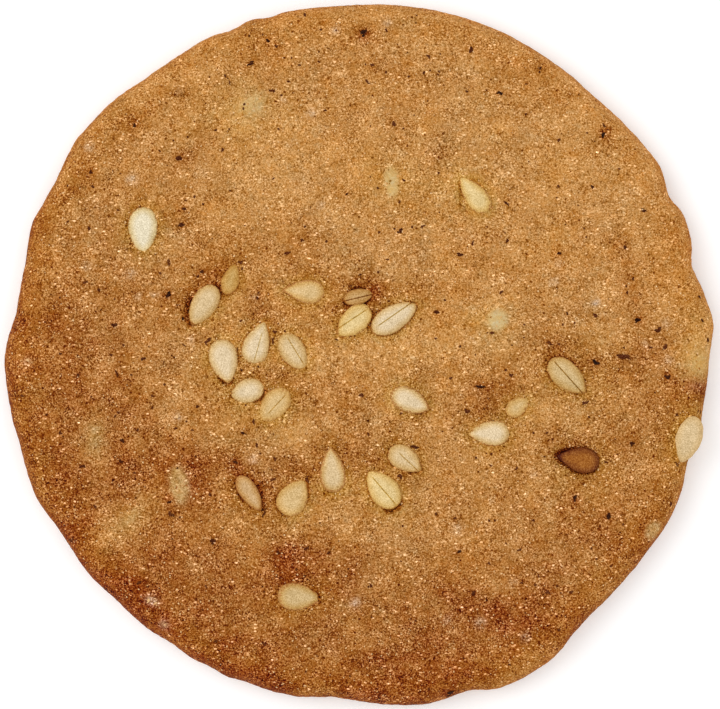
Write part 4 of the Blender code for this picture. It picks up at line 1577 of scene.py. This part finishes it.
@dataclass
class Crumbs(Strewn):
    """Grains of the crust's own crumb, half sunk in it."""

    count: int = 8500
    smallest: float = 0.05 * MM
    largest: float = 0.13 * MM
    shape: tuple[float, float, float] = (1.15, 0.9, 0.75)
    tone_spread: float = 0.5
    sunk: float = 0.35
    jitter: float = 0.5

    def build(self, material: bpy.types.Material) -> bpy.types.Object:
        """Strews the crumbs.

        Args:
            material: The crust's own material.

        Returns:
            The crumbs.
        """
        places = self.places(self.count)
        size = self.smallest + (self.largest - self.smallest) * self.draw.random(self.count) ** 2
        sizes = np.column_stack([size * share for share in self.shape])
        bearings = self.draw.random(self.count) * 360
        tones = self.draw.normal(0, self.tone_spread, self.count)
        piece = self.lay("crumbs", self.pebble(), places, sizes, bearings, tones)
        smooth(piece)
        piece.data.materials.append(material)
        return piece


@dataclass
class BranFlecks(Strewn):
    """The dark flecks: those that can be told apart one by one, and many tiny ones between."""

    tiny_count: int = 170
    tiny_smallest: float = 0.04 * MM
    tiny_largest: float = 0.08 * MM
    tiny_browned: float = 0.4
    tiny_width: float = 0.8
    tiny_tone: float = 0.3
    least_tone: float = 0.1
    tone_span: float = 1.1
    tone_power: float = 1.6
    thickness: float = 0.42
    swell: float = 1.32
    sunk: float = -0.45
    jitter: float = 0.55
    short_length: float = 1.1
    short_width: float = 0.8
    lobe_shares: tuple[tuple[float, float], ...] = ((0.0, 0.75), (0.36, 0.50), (-0.34, 0.45))
    lobe_aside: float = 0.8
    lobe_turn: float = 80
    lobe_width: float = 0.8
    lobe_width_span: float = 0.4
    lobe_dark: float = 0.8
    lobe_dark_span: float = 0.2

    def build(self, effects: Effects) -> bpy.types.Object:
        """Lays the flecks.

        Args:
            effects: The shared node groups.

        Returns:
            The flecks.
        """
        known = np.array(self.lobes())
        tiny = self.places(self.tiny_count, self.tiny_browned)
        span = self.tiny_largest - self.tiny_smallest
        tiny_size = self.tiny_smallest + span * self.draw.random(len(tiny))
        places = np.vstack([known[:, :2] * MM, tiny])
        half_length = np.concatenate([known[:, 2] * MM / 2, tiny_size])
        half_width = np.concatenate([known[:, 3] * MM / 2, tiny_size * self.tiny_width])
        sizes = np.column_stack([half_length, half_width, half_width * self.thickness]) * self.swell
        bearings = np.concatenate([known[:, 4], self.draw.random(len(tiny)) * 360])
        known_tone = self.least_tone + self.tone_span * known[:, 5] ** self.tone_power
        tones = np.concatenate([known_tone, self.draw.random(len(tiny)) * self.tiny_tone])
        piece = self.lay("bran_flecks", self.flake(), places, sizes, bearings, tones)
        smooth(piece)
        piece.data.materials.append(BranFinish().material(effects))
        return piece

    def lobes(self) -> list[tuple[float, ...]]:
        """Rows of x, y, length, width, bearing and darkness: each fleck is a few ragged lobes."""
        rows = []
        for x, y, length, width, bearing, dark in self.known():
            turn = math.radians(bearing)
            for shift, share in self.lobe_shares:
                aside = (self.draw.random() - 0.5) * width * self.lobe_aside
                along = shift * length
                rows.append((
                    x + along * math.cos(turn) - aside * math.sin(turn),
                    y + along * math.sin(turn) + aside * math.cos(turn),
                    length * share,
                    width * share * (self.lobe_width + self.lobe_width_span * self.draw.random()),
                    bearing + (self.draw.random() - 0.5) * self.lobe_turn,
                    dark * (self.lobe_dark + self.lobe_dark_span * self.draw.random()),
                ))
        return rows

    def known(self) -> list[tuple[float, ...]]:
        """The flecks that can be told apart, the short ones with a bearing drawn for each."""
        short = [
            (x, y, size * self.short_length, size * self.short_width, self.draw.random() * 180, dark)
            for x, y, size, dark in FLECKS
        ]
        return [*short, *SLIVERS]


@dataclass
class SugarGrains(Strewn):
    """Glinting grains of sugar, most of them tiny."""

    count: int = 5000
    smallest: float = 0.035 * MM
    largest: float = 0.075 * MM
    known_share: float = 0.42
    known_tone: float = 0.5
    tone_power: float = 1.5
    browned_only: float = 0.3
    shape: tuple[float, float, float] = (1.2, 0.85, 0.6)
    sunk: float = -0.2

    def build(self) -> bpy.types.Object:
        """Strews the grains."""
        known = np.array(GRAINS)
        tiny = self.places(self.count, self.browned_only)
        tiny_size = self.smallest + (self.largest - self.smallest) * self.draw.random(len(tiny)) ** 2
        places = np.vstack([known[:, :2] * MM, tiny])
        size = np.concatenate([known[:, 2] * MM * self.known_share, tiny_size])
        sizes = np.column_stack([size * share for share in self.shape])
        bearings = self.draw.random(len(size)) * 360
        tiny_tone = self.draw.random(len(tiny)) ** self.tone_power
        tones = np.concatenate([np.full(len(known), self.known_tone), tiny_tone])
        piece = self.lay("sugar_grains", self.pebble(), places, sizes, bearings, tones)
        piece.data.materials.append(SugarFinish().material())
        return piece


@dataclass
class Studio:
    """A plain pale floor, soft light and the camera looking straight down."""

    floor_size: float = 1.6
    floor_glow: float = 0.10
    floor_drop: float = 0.02 * MM
    floor_roughness: float = 0.9
    floor_colour: Colour = (0.98, 0.98, 0.98, 1.0)
    lens: float = 200.0
    sensor: float = 36.0
    view_width: float = 52.72 * MM
    clip: tuple[float, float] = (0.01, 10.0)
    rim_plane: float = 2.0 * MM
    aim_x: float = 0.067 * MM
    aim_y: float = 0.003 * MM
    sky: float = 0.98
    key_power: float = 1.4
    key_size: float = 0.6
    key_distance: float = 0.7
    key_bearing: float = 160.0
    key_rise: float = 48.0

    def build(self) -> None:
        """Sets the floor, the lights and the camera."""
        self.floor()
        self.lights()
        self.camera()
        bpy.context.scene.view_settings.view_transform = "Standard"

    def floor(self) -> None:
        """The floor that the biscuit lies on, which is see-through from below."""
        deselect()
        bpy.ops.mesh.primitive_plane_add(size=self.floor_size, location=(0, 0, -self.floor_drop))
        floor = bpy.context.object
        floor.name = "floor"
        material = bpy.data.materials.new("floor")
        material.use_nodes = True
        shader = material.node_tree.nodes["Principled BSDF"]
        shader.inputs["Base Color"].default_value = self.floor_colour
        shader.inputs["Roughness"].default_value = self.floor_roughness
        shader.inputs["Emission Color"].default_value = self.floor_colour
        shader.inputs["Emission Strength"].default_value = self.floor_glow
        nodes = Nodes(material.node_tree)
        behind = nodes.add("ShaderNodeNewGeometry").outputs["Backfacing"]
        clear = nodes.add("ShaderNodeBsdfTransparent").outputs[0]
        seen = nodes.add("ShaderNodeMixShader", {0: behind, 1: shader.outputs[0], 2: clear}).outputs[0]
        nodes.feed(material.node_tree.nodes["Material Output"].inputs["Surface"], seen)
        floor.data.materials.append(material)

    def lights(self) -> None:
        """One broad soft key from the upper left, in an even pale surround."""
        world = bpy.data.worlds.new("surround")
        world.use_nodes = True
        background = world.node_tree.nodes["Background"]
        background.inputs["Color"].default_value = (1.0, 1.0, 1.0, 1.0)
        background.inputs["Strength"].default_value = self.sky
        bpy.context.scene.world = world
        bearing, rise = math.radians(self.key_bearing), math.radians(self.key_rise)
        way = Vector((math.cos(rise) * math.cos(bearing), math.cos(rise) * math.sin(bearing), math.sin(rise)))
        light = bpy.data.lights.new("key", "AREA")
        light.shape = "DISK"
        light.size = self.key_size
        light.energy = self.key_power
        key = bpy.data.objects.new("key", light)
        key.location = way * self.key_distance
        key.rotation_euler = way.to_track_quat("Z", "Y").to_euler()
        bpy.context.scene.collection.objects.link(key)

    def camera(self) -> None:
        """The camera, straight above, as the photograph was taken."""
        camera = bpy.data.cameras.new("camera")
        camera.lens = self.lens
        camera.sensor_width = self.sensor
        camera.clip_start, camera.clip_end = self.clip
        holder = bpy.data.objects.new("camera", camera)
        distance = self.view_width * self.lens / self.sensor
        holder.location = (self.aim_x, self.aim_y, self.rim_plane + distance)
        bpy.context.scene.collection.objects.link(holder)
        bpy.context.scene.camera = holder


def settle(pieces: list[bpy.types.Object]) -> None:
    """Moves the pieces together so that the crust's box has the solid's middle."""
    low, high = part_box(SOLID_NODE)
    crust = read_points(pieces[0])
    middle = (crust.min(axis=0) + crust.max(axis=0)) / 2
    shift = Vector(((low.x + high.x) / 2 - middle[0], (low.y + high.y) / 2 - middle[1], 0))
    for piece in pieces:
        piece.data.transform(Matrix.Translation(shift))


def attach(piece: bpy.types.Object) -> None:
    """Makes a finished piece part of the biscuit, and logs how many faces it has."""
    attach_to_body(piece, BODY)
    LOG.info("%s: %d faces", piece.name, len(piece.data.polygons))


def main() -> None:
    """Builds the biscuit, its seeds, what is strewn on it, and its studio."""
    logging.basicConfig(level=logging.INFO, format="%(name)s: %(message)s")
    effects = Effects()
    form = Crust()
    crust = form.build(effects)
    seeds, toasted = SeedBed(form).build(effects)
    ground = BVHTree.FromObject(crust, bpy.context.evaluated_depsgraph_get())
    crumbs = Crumbs(form, ground, 11).build(crust.data.materials[0])
    bran = BranFlecks(form, ground, 12).build(effects)
    sugar = SugarGrains(form, ground, 13).build()
    settle([crust, seeds, toasted, crumbs, bran, sugar])
    attach(crust)
    attach(crumbs)
    attach(seeds)
    attach(toasted)
    attach(bran)
    attach(sugar)
    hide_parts(SOLID_NODE)
    Studio().build()


if __name__ == "__main__":
    main()
